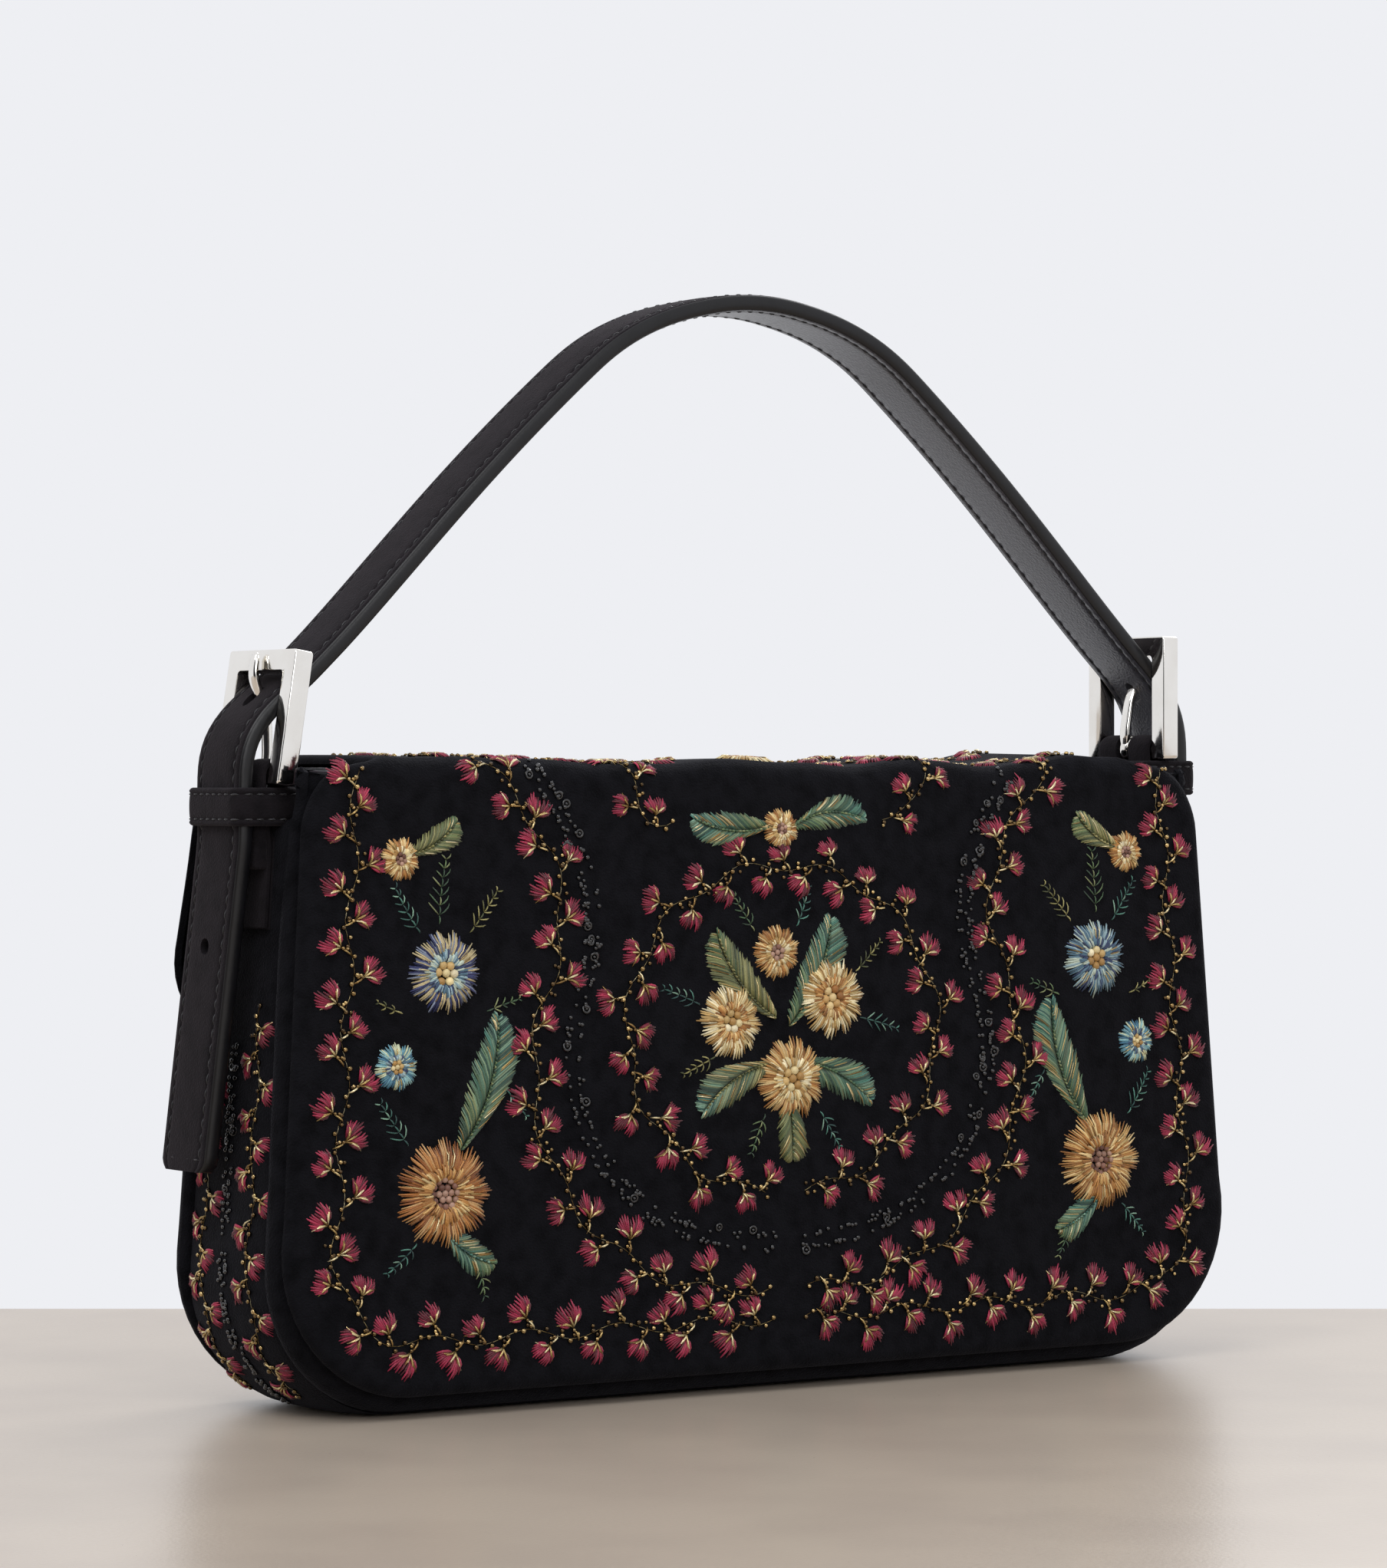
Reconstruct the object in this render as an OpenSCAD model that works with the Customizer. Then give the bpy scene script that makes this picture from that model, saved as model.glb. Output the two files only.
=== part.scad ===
// Small soft shoulder bag with a full front flap and a buckled strap.
// X runs along the width, the front faces -Y, and Z is up from the floor.

/* [Body] */
// Width of the panels, drawn on down to the floor
base_width = 276; // [240:2:320]
// Width of the panels at the mouth
mouth_width = 257; // [225:2:300]
// Height of the panels above the floor
panel_height = 147; // [120:1:180]
// Depth over the panels at the floor
base_depth = 54; // [46:1:70]
// Depth over the panels at the mouth
mouth_depth = 46; // [42:1:60]
// Radius of the lower corners
corner_radius = 33; // [20:1:45]
// Thickness of the velvet of the panels
velvet_thickness = 1.4; // [1:0.1:2]
// Thickness of the stiffener inside each panel
board_thickness = 1.2; // [1:0.1:2]
// Distance that the stiffener is set in from the edges of its panel
board_inset = 6; // [3:0.5:9]
// Thickness of the lining cloth
lining_thickness = 0.8; // [0.6:0.1:1.2]
// Thickness of the gusset strip
gusset_thickness = 2.4; // [2:0.1:3]
// Distance that the gusset is set in from the edges of the panels
gusset_inset = 2; // [1:0.5:4]
// Depth of the dip in the top edge of the gusset
gusset_dip = 9; // [7:0.5:12]
// Distance from the mouth down to the middle of that dip
gusset_drop = 16; // [15:1:40]
// Height of the lower edge of the panels above the floor
panel_lift = 1; // [0:0.5:3]
// Thickness of the stiff board in the base
base_board_thickness = 1.5; // [1:0.1:2.5]

/* [Flap] */
// Radius of the shoulders where the flap narrows towards its folds
shoulder_radius = 20; // [14:1:26]
// Height of the front edge of the flap above the floor
flap_lift = 5; // [3:0.5:12]
// Length of the sewn back drop below the mouth
back_drop_length = 65; // [50:1:85]
// Radius of the lower corners of the back drop
back_drop_radius = 22; // [12:1:30]
// Thickness of the lining inside the flap
flap_lining_thickness = 1; // [0.8:0.1:1.5]
// Radius of the closing magnets
magnet_radius = 7; // [5:0.5:9]
// Height of the closing magnets above the floor
magnet_height = 34; // [28:1:60]

/* [Strap] */
// Width of the strap
strap_width = 20; // [16:0.5:24]
// Thickness of the suede side of the strap
strap_suede = 1.9; // [1.5:0.1:2.2]
// Thickness of the smooth leather side of the strap
strap_leather = 1.9; // [1.5:0.1:2.2]
// Height of the top of the strap above the mouth
strap_rise = 114.6; // [90:1:150]
// Radius of the rounded top of the strap
strap_crown_radius = 68; // [50:1:90]
// Distance from the middle of the bag to the top of the strap, to the right
strap_crown_shift = 5; // [-8:1:8]
// Distance that the strap lies in front of the middle
strap_forward = 2; // [0:0.5:3]
// Length of a tail below its bottom bar
tail_length = 90; // [60:1:110]
// Distance that the end of a tail stands out from the edge of the panels
tail_splay = 9; // [8:0.5:14]
// Distance that the end of a tail hangs back behind its bar
tail_back = 7; // [0:1:10]
// Distance from a bottom bar down to the spare hole
spare_hole_drop = 39; // [30:1:50]
// Radius of the spare hole
spare_hole_radius = 1.6; // [1.2:0.1:2.2]

/* [Buckles] */
// Distance that the bottom bars stand outside the gusset
bar_offset = 0.7; // [0:0.1:2]
// Height of the left bottom bar above the mouth
left_bar_rise = -1; // [-2:0.5:5]
// Height of the right bottom bar above the mouth
right_bar_rise = 5.6; // [-2:0.5:7]
// Angle by which the left buckle leans in, in degrees
left_lean = 9; // [0:1:9]
// Angle by which the right buckle leans in, in degrees
right_lean = 0; // [0:1:9]
// Height of a buckle frame
buckle_height = 31; // [30:0.5:34]
// Width of the bars of a frame, seen from the side of the bag
bar_width = 4.8; // [4:0.1:5]
// Thickness of a frame
bar_thickness = 4.8; // [4.4:0.1:5]
// Radius of the round bottom bar
pivot_radius = 2.2; // [2:0.1:2.3]
// Radius of the wire of a prong
prong_radius = 1.4; // [1:0.1:1.5]
// Angle by which a prong can lift, in degrees
prong_lift = 5; // [3:1:6]
// Thickness of the suede loop that holds a bottom bar
chape_thickness = 1.5; // [1.2:0.1:1.6]
// Thickness of the suede tab that is sewn to the gusset
tab_thickness = 2.4; // [2:0.1:2.6]
// Length of the tab below the loop
tab_length = 24; // [16:1:34]
// Height of a keeper
keeper_height = 9; // [7:0.5:10]
// Thickness of the leather of a keeper
keeper_thickness = 1.4; // [1:0.1:1.6]

/* [Pocket] */
// Length of the welt round the pocket zip
zip_frame_length = 150; // [120:1:170]
// Height of that welt
zip_frame_height = 14; // [12:1:18]
// Distance from the mouth down to the zip
zip_drop = 39; // [34:1:50]
// Size of the zip teeth along the zip
tooth_size = 1.4; // [1:0.1:1.6]
// Distance between teeth
tooth_pitch = 2.8; // [2.6:0.1:4]
// Length of the zip slider
slider_length = 9; // [7:0.5:12]
// Length of the leather puller
puller_length = 24; // [16:1:30]
// Depth of the zipped pocket below its zip
pocket_depth = 78; // [50:1:85]
// Width of the open pocket on the front lining
slip_width = 120; // [80:1:160]
// Height of the open pocket
slip_height = 70; // [50:1:85]
// Width of the bare leather patch
patch_width = 46; // [30:1:60]
// Height of the bare leather patch
patch_height = 20; // [14:1:22]
// Height of the leather facings inside the mouth
facing_height = 22; // [16:1:25]
// Distance between the pieces that are sewn on the lining
trim_space = 6; // [4:1:10]
// Thickness of the pieces that are sewn on the lining
trim = 0.8; // [0.6:0.1:1]

/* [Clearances] */
// Gap between the flap and what it lies on, and in its folds
flap_gap = 0.3; // [0.2:0.1:0.6]
// Gap round the strap in its keepers and along the turning ends
strap_gap = 0.4; // [0.3:0.1:0.5]
// Gap between a prong's eye and its bar
pivot_gap = 0.05; // [0.03:0.01:0.1]
// Gap between other soft pieces
soft_gap = 0.2; // [0.1:0.1:0.3]

/* [Hidden] */

velvet = "#15151a";
suede = "#1c1b1e";
smooth_leather = "#2b2b30";
lining_cloth = "#3a3038";
metal = "#c9c8c4";
board_grey = "#6c6a66";
LEFT = -1;
RIGHT = 1;
FRONT = -1;
BACK = 1;
// Length that passes any piece, and a small overrun of the shapes that cut
MANY = 400;
margin = 1;
arc_steps = 10;

// Outline of the panels, seen from the front
side_slope = atan((base_width - mouth_width) / 2 / panel_height);
function side_x(z) = base_width / 2 - z * tan(side_slope);
corner_x = base_width / 2 - corner_radius * (1 + sin(side_slope)) / cos(side_slope);
function arc(c, r, a, b, n = arc_steps) =
  [for (i = [0:n]) c + r * [cos(a + (b - a) * i / n), sin(a + (b - a) * i / n)]];
function mirrored(half) = concat(half, [for (i = [len(half) - 1:-1:0]) [-half[i][0], half[i][1]]]);
// The lower corners keep one centre, and the sides lie inset from the panel's edge
function lower_half(inset, lift) =
  arc([corner_x, corner_radius + lift - inset], corner_radius - inset, -90, side_slope);
function body_outline(inset, lift, top) =
  mirrored(concat(lower_half(inset, lift), [[side_x(top) - inset / cos(side_slope), top]]));

// Layers are measured in from the outside of a panel, or out from it when below zero
function half_depth(z) = (base_depth + (mouth_depth - base_depth) * z / panel_height) / 2;
gusset_top = panel_height - gusset_drop;
module layer(wall, from, to, low, top) {
  depths = [[low, from], [top, from], [top, to], [low, to]];
  rotate([90, 0, 90])
    linear_extrude(MANY, center = true)
      polygon([for (p = depths) [wall * (half_depth(p[0]) - p[1]), p[0]]]);
}
module outline_prism(points) {
  rotate([90, 0, 0])
    linear_extrude(MANY, center = true)
      polygon(points);
}
// One sheet of a wall, between two depths and two heights, inside an outline
module sheet(wall, from, thickness, inset, low, top) {
  intersection() {
    outline_prism(body_outline(inset, low, top));
    layer(wall, from, from + thickness, 0, top);
  }
}
// A flat rectangle on a wall, centred at a height
module patch(wall, from, thickness, width, height, middle) {
  intersection() {
    translate([-width / 2, -MANY / 2, middle - height / 2])
      cube([width, MANY, height]);
    layer(wall, from, from + thickness, 0, panel_height);
  }
}

// Depths of the layers of both walls
board_from = velvet_thickness;
lining_from = board_from + board_thickness + soft_gap;
pocket_sheet = 1.6;
back_lining_from = lining_from + pocket_sheet + soft_gap;
slot_cut = 12;
base_lining_low = gusset_thickness + base_board_thickness + soft_gap;
gusset_lining_gap = gusset_inset + gusset_thickness + soft_gap;
zip_height = panel_height - zip_drop;

module front_panel() {
  color(velvet) sheet(FRONT, 0, velvet_thickness, 0, panel_lift, panel_height);
}
module back_panel() {
  color(velvet) sheet(BACK, 0, velvet_thickness, 0, panel_lift, panel_height);
}
module board(wall) {
  sheet(wall, board_from, board_thickness, board_inset, panel_lift + board_inset,
        panel_height - board_inset);
}
module front_board() {
  color(board_grey)
    difference() {
      board(FRONT);
      magnet_well();
    }
}
module back_board() {
  color(board_grey) board(BACK);
}

// The gusset runs down one side, along the base and up the other side
gusset_from = velvet_thickness;
module gusset_shell(inset, thickness, top) {
  intersection() {
    difference() {
      outline_prism(body_outline(inset, 0, panel_height));
      outline_prism(body_outline(inset + thickness, thickness, panel_height + margin));
    }
    layer(FRONT, gusset_from, 2 * half_depth(0) - gusset_from, -margin, panel_height);
    layer(BACK, gusset_from, 2 * half_depth(0) - gusset_from, -margin, panel_height);
    translate([-MANY / 2, -MANY / 2, -margin])
      cube([MANY, MANY, top + margin]);
  }
}
dip_half = half_depth(gusset_top) - gusset_from;
dip_radius = (dip_half * dip_half + gusset_dip * gusset_dip) / 2 / gusset_dip;
module dip_cut() {
  translate([0, 0, gusset_top + dip_radius])
    rotate([0, 90, 0])
      cylinder(r = dip_radius, h = MANY, center = true, $fn = 96);
}
module gusset() {
  color(velvet)
    difference() {
      gusset_shell(gusset_inset, gusset_thickness, gusset_top + gusset_dip);
      dip_cut();
    }
}
module base_board() {
  board_low = gusset_thickness;
  board_half = half_depth(0) - lining_from;
  color(board_grey)
    translate([-corner_x, -board_half, board_low])
      cube([2 * corner_x, 2 * board_half, base_board_thickness]);
}
module gusset_lining() {
  color(lining_cloth)
    difference() {
      intersection() {
        difference() {
          outline_prism(body_outline(gusset_lining_gap, base_lining_low, panel_height));
          outline_prism(body_outline(gusset_lining_gap + lining_thickness,
                                     base_lining_low + lining_thickness, panel_height + margin));
        }
        layer(FRONT, lining_from + lining_thickness + soft_gap, 2 * half_depth(0), 0, panel_height);
        layer(BACK, back_lining_from + lining_thickness + soft_gap, 2 * half_depth(0), 0,
              panel_height);
        translate([-MANY / 2, -MANY / 2, 0])
          cube([MANY, MANY, gusset_top + gusset_dip]);
      }
      dip_cut();
    }
}

// The lining of each wall starts above the base board
module front_lining() {
  color(lining_cloth)
    sheet(FRONT, lining_from, lining_thickness, gusset_lining_gap, base_lining_low, panel_height);
}
module back_lining() {
  color(lining_cloth)
    difference() {
      sheet(BACK, back_lining_from, lining_thickness, gusset_lining_gap, base_lining_low,
            panel_height);
      patch(BACK, lining_from, slot_cut, zip_slot_length, zip_slot_height, zip_height);
    }
}
front_face = lining_from + lining_thickness;
back_face = back_lining_from + lining_thickness;
facing_half = side_x(panel_height) - gusset_lining_gap - lining_thickness - soft_gap;
module front_facing() {
  color(smooth_leather)
    patch(FRONT, front_face, trim, 2 * facing_half, facing_height,
          panel_height - facing_height / 2);
}
module back_facing() {
  color(smooth_leather)
    patch(BACK, back_face, trim, 2 * facing_half, facing_height,
          panel_height - facing_height / 2);
}
module slip_pocket() {
  slip_middle = panel_height - facing_height - trim_space - slip_height / 2;
  color(lining_cloth)
    patch(FRONT, front_face, trim, slip_width, slip_height, slip_middle);
}
module label_patch() {
  label_middle = zip_height - zip_frame_height / 2 - trim_space - patch_height / 2;
  color(smooth_leather)
    patch(BACK, back_face, trim, patch_width, patch_height, label_middle);
}

// Pocket behind the back lining, with a zip in a leather welt
welt = 3;
zip_slot_height = zip_frame_height - 2 * welt;
zip_slot_length = zip_frame_length - 2 * welt;
module pocket_bag() {
  bag_top = zip_height + zip_slot_height;
  color(lining_cloth)
    patch(BACK, lining_from, pocket_sheet, zip_frame_length, bag_top - zip_height + pocket_depth,
          (bag_top + zip_height - pocket_depth) / 2);
}
module zip_frame() {
  color(smooth_leather)
    difference() {
      patch(BACK, back_face, trim, zip_frame_length, zip_frame_height, zip_height);
      patch(BACK, lining_from, slot_cut, zip_slot_length, zip_slot_height, zip_height);
    }
}
tape_thickness = 0.5;
tape_from = back_lining_from;
module zip_tape() {
  color("#101012")
    patch(BACK, tape_from, tape_thickness, zip_slot_length, zip_slot_height, zip_height);
}
tooth_height = 1.1;
tooth_reach = 1.3 * tooth_size;
teeth_end = 3;
teeth_half = zip_slot_length / 2 - teeth_end;
teeth_count = floor(2 * teeth_half / tooth_pitch) - 1;
function wall_y(depth, z) = half_depth(z) - depth;
module zip_teeth() {
  teeth_from = tape_from + tape_thickness;
  color(metal)
    intersection() {
      layer(BACK, teeth_from, teeth_from + tooth_height, 0, panel_height);
      for (i = [0:teeth_count], row = [0, 1])
        translate([-teeth_half + (i + row / 2) * tooth_pitch, 0, zip_height - row * tooth_reach])
          cube([tooth_size, MANY, tooth_reach]);
    }
}
// The slider starts at the left end, where the zip is closed
slider_height = 6.4;
slider_thickness = 1.6;
slider_gap = 0.25;
slider_x = -teeth_half + slider_length / 2;
slider_y = wall_y(tape_from + tape_thickness + tooth_height + slider_gap, zip_height);
bail_radius = 2.4;
bail_wire = 0.7;
bail_width = 2;
bail_y = slider_y - slider_thickness - bail_radius + bail_wire;
module zip_slider() {
  color(metal) {
    translate([slider_x - slider_length / 2, slider_y - slider_thickness,
               zip_height - slider_height / 2])
      cube([slider_length, slider_thickness, slider_height]);
    difference() {
      translate([slider_x, bail_y, zip_height])
        rotate([0, 90, 0])
          cylinder(r = bail_radius, h = bail_width, center = true, $fn = 48);
      translate([slider_x, bail_y, zip_height])
        rotate([0, 90, 0])
          cylinder(r = bail_radius - bail_wire, h = 2 * bail_width, center = true, $fn = 48);
    }
  }
}
// The puller hangs from the slider's bail by a small wire eye
puller_width = 8;
puller_thickness = 1.6;
puller_play = 0.35;
puller_pin = bail_radius - bail_wire - puller_play;
ear_width = (puller_width - 2 * bail_width) / 2;
ear_length = 2 * bail_radius;
module zip_puller() {
  color(smooth_leather)
    translate([slider_x, bail_y, zip_height]) {
      rotate([0, 90, 0])
        cylinder(r = puller_pin, h = puller_width, center = true, $fn = 32);
      difference() {
        translate([-puller_width / 2, -puller_thickness / 2, -puller_length])
          cube([puller_width, puller_thickness, puller_length]);
        translate([ear_width - puller_width / 2, -puller_thickness, -ear_length])
          cube([puller_width - 2 * ear_width, 2 * puller_thickness, 2 * ear_length]);
      }
    }
}

// The two magnets face each other through the cloth, low in the middle
module magnet_disc(from, thickness, radius) {
  intersection() {
    translate([0, 0, magnet_height])
      rotate([90, 0, 0])
        cylinder(r = radius, h = MANY, $fn = 64);
    layer(FRONT, from, from + thickness, 0, panel_height);
  }
}
module magnet_well() {
  translate([0, 0, magnet_height])
    rotate([90, 0, 0])
      cylinder(r = magnet_radius + pivot_gap, h = MANY, $fn = 64);
}
module body_magnet() {
  color(metal) magnet_disc(board_from, board_thickness, magnet_radius);
}
module flap_magnet() {
  color(metal) magnet_disc(-flap_board_from - board_thickness, board_thickness, magnet_radius);
}

// The flap: a front, a top and a sewn back drop, each with its ends mitred at the folds
flap_board_from = flap_gap + flap_lining_thickness;
flap_total = flap_board_from + board_thickness + velvet_thickness;
back_drop_height = panel_height - back_drop_length;
fold_z = panel_height + flap_total;
shoulder_z = fold_z - shoulder_radius;
shoulder_x = side_x(shoulder_z) - shoulder_radius;
function flap_front_points(inset) =
  mirrored(concat(lower_half(inset, flap_lift + inset),
                  arc([shoulder_x, shoulder_z], shoulder_radius - inset, 0, 90)));
back_corner_x = side_x(back_drop_height + back_drop_radius) - back_drop_radius;
function flap_back_points() =
  mirrored(concat(arc([back_corner_x, back_drop_height + back_drop_radius], back_drop_radius, -90, 0),
                  arc([shoulder_x, shoulder_z], shoulder_radius, 0, 90)));
// A layer of the hanging part: it reaches up to the mitre at the fold
module hanging_layer(wall, from, to, gap) {
  high_in = panel_height + from - gap;
  high_out = panel_height + to - gap;
  rotate([90, 0, 90])
    linear_extrude(MANY, center = true)
      polygon([[wall * (half_depth(0) + from), 0], [wall * (half_depth(high_in) + from), high_in],
               [wall * (half_depth(high_out) + to), high_out], [wall * (half_depth(0) + to), 0]]);
}
module top_layer(from, to) {
  edge = half_depth(panel_height);
  rotate([90, 0, 90])
    linear_extrude(2 * shoulder_x, center = true)
      polygon([[-edge - from, panel_height + from], [-edge - to, panel_height + to],
               [edge + to, panel_height + to], [edge + from, panel_height + from]]);
}
module flap_front() {
  color(velvet)
    intersection() {
      outline_prism(flap_front_points(0));
      hanging_layer(FRONT, flap_total - velvet_thickness, flap_total, flap_gap);
    }
}
module flap_board() {
  color(board_grey)
    difference() {
      intersection() {
        outline_prism(flap_front_points(board_inset));
        hanging_layer(FRONT, flap_board_from, flap_board_from + board_thickness, flap_gap);
      }
      magnet_well();
    }
}
module flap_front_lining() {
  color(smooth_leather)
    intersection() {
      outline_prism(flap_front_points(0));
      hanging_layer(FRONT, flap_gap, flap_board_from, flap_gap);
    }
}
module flap_top() {
  color(velvet) top_layer(flap_board_from, flap_total);
}
module flap_top_lining() {
  color(smooth_leather) top_layer(flap_gap, flap_board_from);
}
module flap_back() {
  color(velvet)
    intersection() {
      outline_prism(flap_back_points());
      hanging_layer(BACK, 0, flap_total, flap_gap);
    }
}

// The buckles. In a buckle's own frame X points away from the bag and the bar lies at the origin
frame_width = strap_width + 2 * strap_gap + 2 * bar_width;
window_half = frame_width / 2 - bar_width;
frame_top = buckle_height - bar_width / 2;
pivot_seat = 0.5;
bar_reach = side_x(gusset_top) - gusset_inset + bar_offset;
function bar_height(side) = panel_height + (side > 0 ? right_bar_rise : left_bar_rise);
function lean(side) = side > 0 ? right_lean : left_lean;
module at_bar(side) {
  translate([side * bar_reach, -strap_forward, bar_height(side)])
    mirror([side > 0 ? 0 : 1, 0, 0])
      children();
}
module at_buckle(side) {
  at_bar(side)
    rotate([0, -lean(side), 0])
      children();
}
module buckle(side) {
  color(metal)
    at_buckle(side) {
      difference() {
        translate([-bar_thickness / 2, -frame_width / 2, -bar_width / 2])
          cube([bar_thickness, frame_width, buckle_height]);
        translate([-bar_thickness, -window_half, -bar_width])
          cube([2 * bar_thickness, 2 * window_half, frame_top]);
      }
      rotate([90, 0, 0])
        cylinder(r = pivot_radius, h = 2 * (window_half + pivot_seat), center = true, $fn = 48);
    }
}
// The prong: an eye on the bar, a rise inside the strap, a step out through it, and the tip
eye_wall = 1.5;
eye_radius = pivot_radius + pivot_gap + eye_wall;
tip_out = bar_thickness / 2 + prong_radius + flap_gap;
tip_short = 1;
step_back = -0.8;
step_start = 13.5;
step_drop = 3.5;
prong_line = [[-pivot_radius - pivot_gap - eye_wall / 4, pivot_radius], [step_back, step_start],
              [tip_out, frame_top - bar_width - step_drop], [tip_out, frame_top - tip_short]];
function unit(v) = v / norm(v);
function left_of(v) = [-v[1], v[0]];
// A line of points moved sideways by a distance, with mitred corners
function beside(line, shift) =
  [for (i = [0:len(line) - 1])
    let (before = unit(line[max(i, 1)] - line[max(i, 1) - 1]),
         after = unit(line[min(i, len(line) - 2) + 1] - line[min(i, len(line) - 2)]),
         mitre = unit(left_of(before) + left_of(after)))
      line[i] + mitre * shift / (mitre * left_of(before))];
function reversed(list) = [for (i = [len(list) - 1:-1:0]) list[i]];
module upright_prism(points, width) {
  rotate([90, 0, 0])
    linear_extrude(width, center = true)
      polygon(points);
}
module prong_band(radius, width) {
  upright_prism(concat(beside(prong_line, radius), reversed(beside(prong_line, -radius))), width);
}
module prong(side) {
  color(metal)
    at_buckle(side)
      difference() {
        union() {
          rotate([90, 0, 0])
            cylinder(r = eye_radius, h = 2 * prong_radius, center = true, $fn = 48);
          prong_band(prong_radius, 2 * prong_radius);
        }
        rotate([90, 0, 0])
          cylinder(r = pivot_radius + pivot_gap, h = 4 * prong_radius, center = true, $fn = 48);
      }
}
// Room for the prong through the strap, over its whole lift
module prong_slot(side) {
  steps = 2;
  slot_width = 2 * (prong_radius + strap_gap);
  at_buckle(side)
    for (i = [0:steps])
      rotate([0, prong_lift * i / steps, 0])
        prong_band(prong_radius + strap_gap, slot_width);
}
// The suede loop round the bar. Its lower end is round, so that it can turn with the strap
chape_radius = pivot_radius + chape_thickness;
chape_leg = 2.2;
slot_gap = 1.1;
slot_half = prong_radius + slot_gap;
chape_fit = 0.02;
turn_radius = strap_width / 2;
module chape(side) {
  color(suede)
    at_bar(side)
      difference() {
        union() {
          rotate([90, 0, 0])
            cylinder(r = chape_radius, h = strap_width, center = true, $fn = 48);
          intersection() {
            rotate([0, 90, 0])
              cylinder(r = turn_radius, h = chape_leg, center = true, $fn = 96);
            translate([-chape_leg, -turn_radius, -turn_radius])
              cube([2 * chape_leg, 2 * turn_radius, turn_radius]);
          }
        }
        rotate([90, 0, 0])
          cylinder(r = pivot_radius + chape_fit, h = 2 * strap_width, center = true, $fn = 48);
        translate([-2 * chape_radius, -slot_half, -eye_radius - strap_gap])
          cube([4 * chape_radius, 2 * slot_half, 2 * chape_radius + eye_radius]);
      }
}
// The tab is sewn flat on the gusset, below the loop
module tab(side) {
  tab_top = bar_height(side) - turn_radius - 3 * strap_gap;
  color(suede)
    intersection() {
      difference() {
        outline_prism(body_outline(gusset_inset - tab_thickness, 0, panel_height));
        outline_prism(body_outline(gusset_inset, 0, panel_height));
      }
      translate([side > 0 ? 0 : -MANY, -strap_forward - strap_width / 2, tab_top - tab_length])
        cube([MANY, strap_width, tab_length]);
    }
}

// The strap. Its outer face is a curve through each window, a straight flank and a round crown
strap_thickness = strap_suede + strap_leather;
keeper_inner = chape_radius + strap_gap;
strap_out = keeper_inner + keeper_thickness + strap_gap + strap_thickness;
window_corner = [-bar_thickness / 2 - strap_gap, frame_top - bar_width - strap_gap];
// Direction in which the strap slips under the top bar
entry_step = [6.3, -6];
// Length over which the strap leaves its turning end straight up
entry_height = 12;
function curve(a, b, c, d, t) =
  a * pow(1 - t, 3) + 3 * b * t * pow(1 - t, 2) + 3 * c * t * t * (1 - t) + d * pow(t, 3);
function leaned(p, side) =
  [p[0] * cos(lean(side)) - p[1] * sin(lean(side)), p[0] * sin(lean(side)) + p[1] * cos(lean(side))];
function window_curve(side) =
  [for (i = [0:arc_steps])
    curve(leaned(window_corner, side), leaned(window_corner + entry_step, side),
          [strap_out, entry_height], [strap_out, 0], i / arc_steps)];
function placed(p, side) = [side * (bar_reach + p[0]), bar_height(side) + p[1]];
crown = [strap_crown_shift, panel_height + strap_rise - strap_crown_radius];
// Angle at which the straight flank leaves the crown
function flank_angle(p) =
  let (reach = p - crown) acos(strap_crown_radius / norm(reach));
function crown_angle(side) =
  let (p = placed(window_curve(side)[0], side), reach = p - crown)
    atan2(reach[1], reach[0]) + side * flank_angle(p);
right_crown = crown_angle(RIGHT);
left_crown = crown_angle(LEFT) + (crown_angle(LEFT) < 0 ? 360 : 0);
outer_face = concat(
  [for (i = [arc_steps:-1:0]) placed(window_curve(LEFT)[i], LEFT)],
  arc(crown, strap_crown_radius, left_crown, right_crown, 2 * arc_steps),
  [for (i = [0:arc_steps]) placed(window_curve(RIGHT)[i], RIGHT)]
);
// Direction towards the inside of the strap at a point of its outer face
function inward(points, i) =
  let (last = len(points) - 1,
       along = i == 0 || i == last ? [0, i == 0 ? 1 : -1]
                                   : unit(points[i + 1] - points[i - 1]))
    [along[1], -along[0]];
function offset_face(points, depth) =
  [for (i = [0:len(points) - 1]) points[i] + depth * inward(points, i)];
function band(points, from, to) =
  concat(offset_face(points, from), reversed(offset_face(points, to)));
module band_solid(points, width) {
  translate([0, -strap_forward, 0])
    upright_prism(points, width);
}
// Half a disc that ends the turning part of a strap layer below the bar's height
module turning_end(side, from, to) {
  at_bar(side)
    intersection() {
      translate([strap_out - to, 0, 0])
        rotate([0, 90, 0])
          cylinder(r = turn_radius, h = to - from, $fn = 96);
      translate([0, -turn_radius, -turn_radius])
        cube([2 * strap_out, 2 * turn_radius, turn_radius]);
    }
}
module strap_layer(from, to) {
  difference() {
    union() {
      band_solid(band(outer_face, from, to), strap_width);
      turning_end(LEFT, from, to);
      turning_end(RIGHT, from, to);
    }
    prong_slot(LEFT);
    prong_slot(RIGHT);
  }
}
module strap() {
  color(suede) strap_layer(0, strap_suede);
}
module strap_lining() {
  color(smooth_leather) strap_layer(strap_suede, strap_thickness);
}
// The tails hang from the keepers and splay out a little
tail_drop = 15;
tail_top = turn_radius / 2;
tail_chamfer = 2;
function tail_end(side) = bar_height(side) - tail_length;
function tail_face(side) =
  let (x = bar_reach + strap_out, z = bar_height(side), low = tail_end(side))
    [[side * x, z - tail_top], [side * x, z - tail_drop], [side * (side_x(low) + tail_splay), low]];
function tail_points(side, from, to) =
  let (outer = tail_face(side),
       drop = outer[2] - outer[1],
       across = side * unit([drop[1], -drop[0]]),
       flat = [-side, 0])
    [outer[0] + flat * from, outer[1] + flat * from, outer[2] + across * from,
     outer[2] + across * to, outer[1] + flat * to, outer[0] + flat * to];
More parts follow.
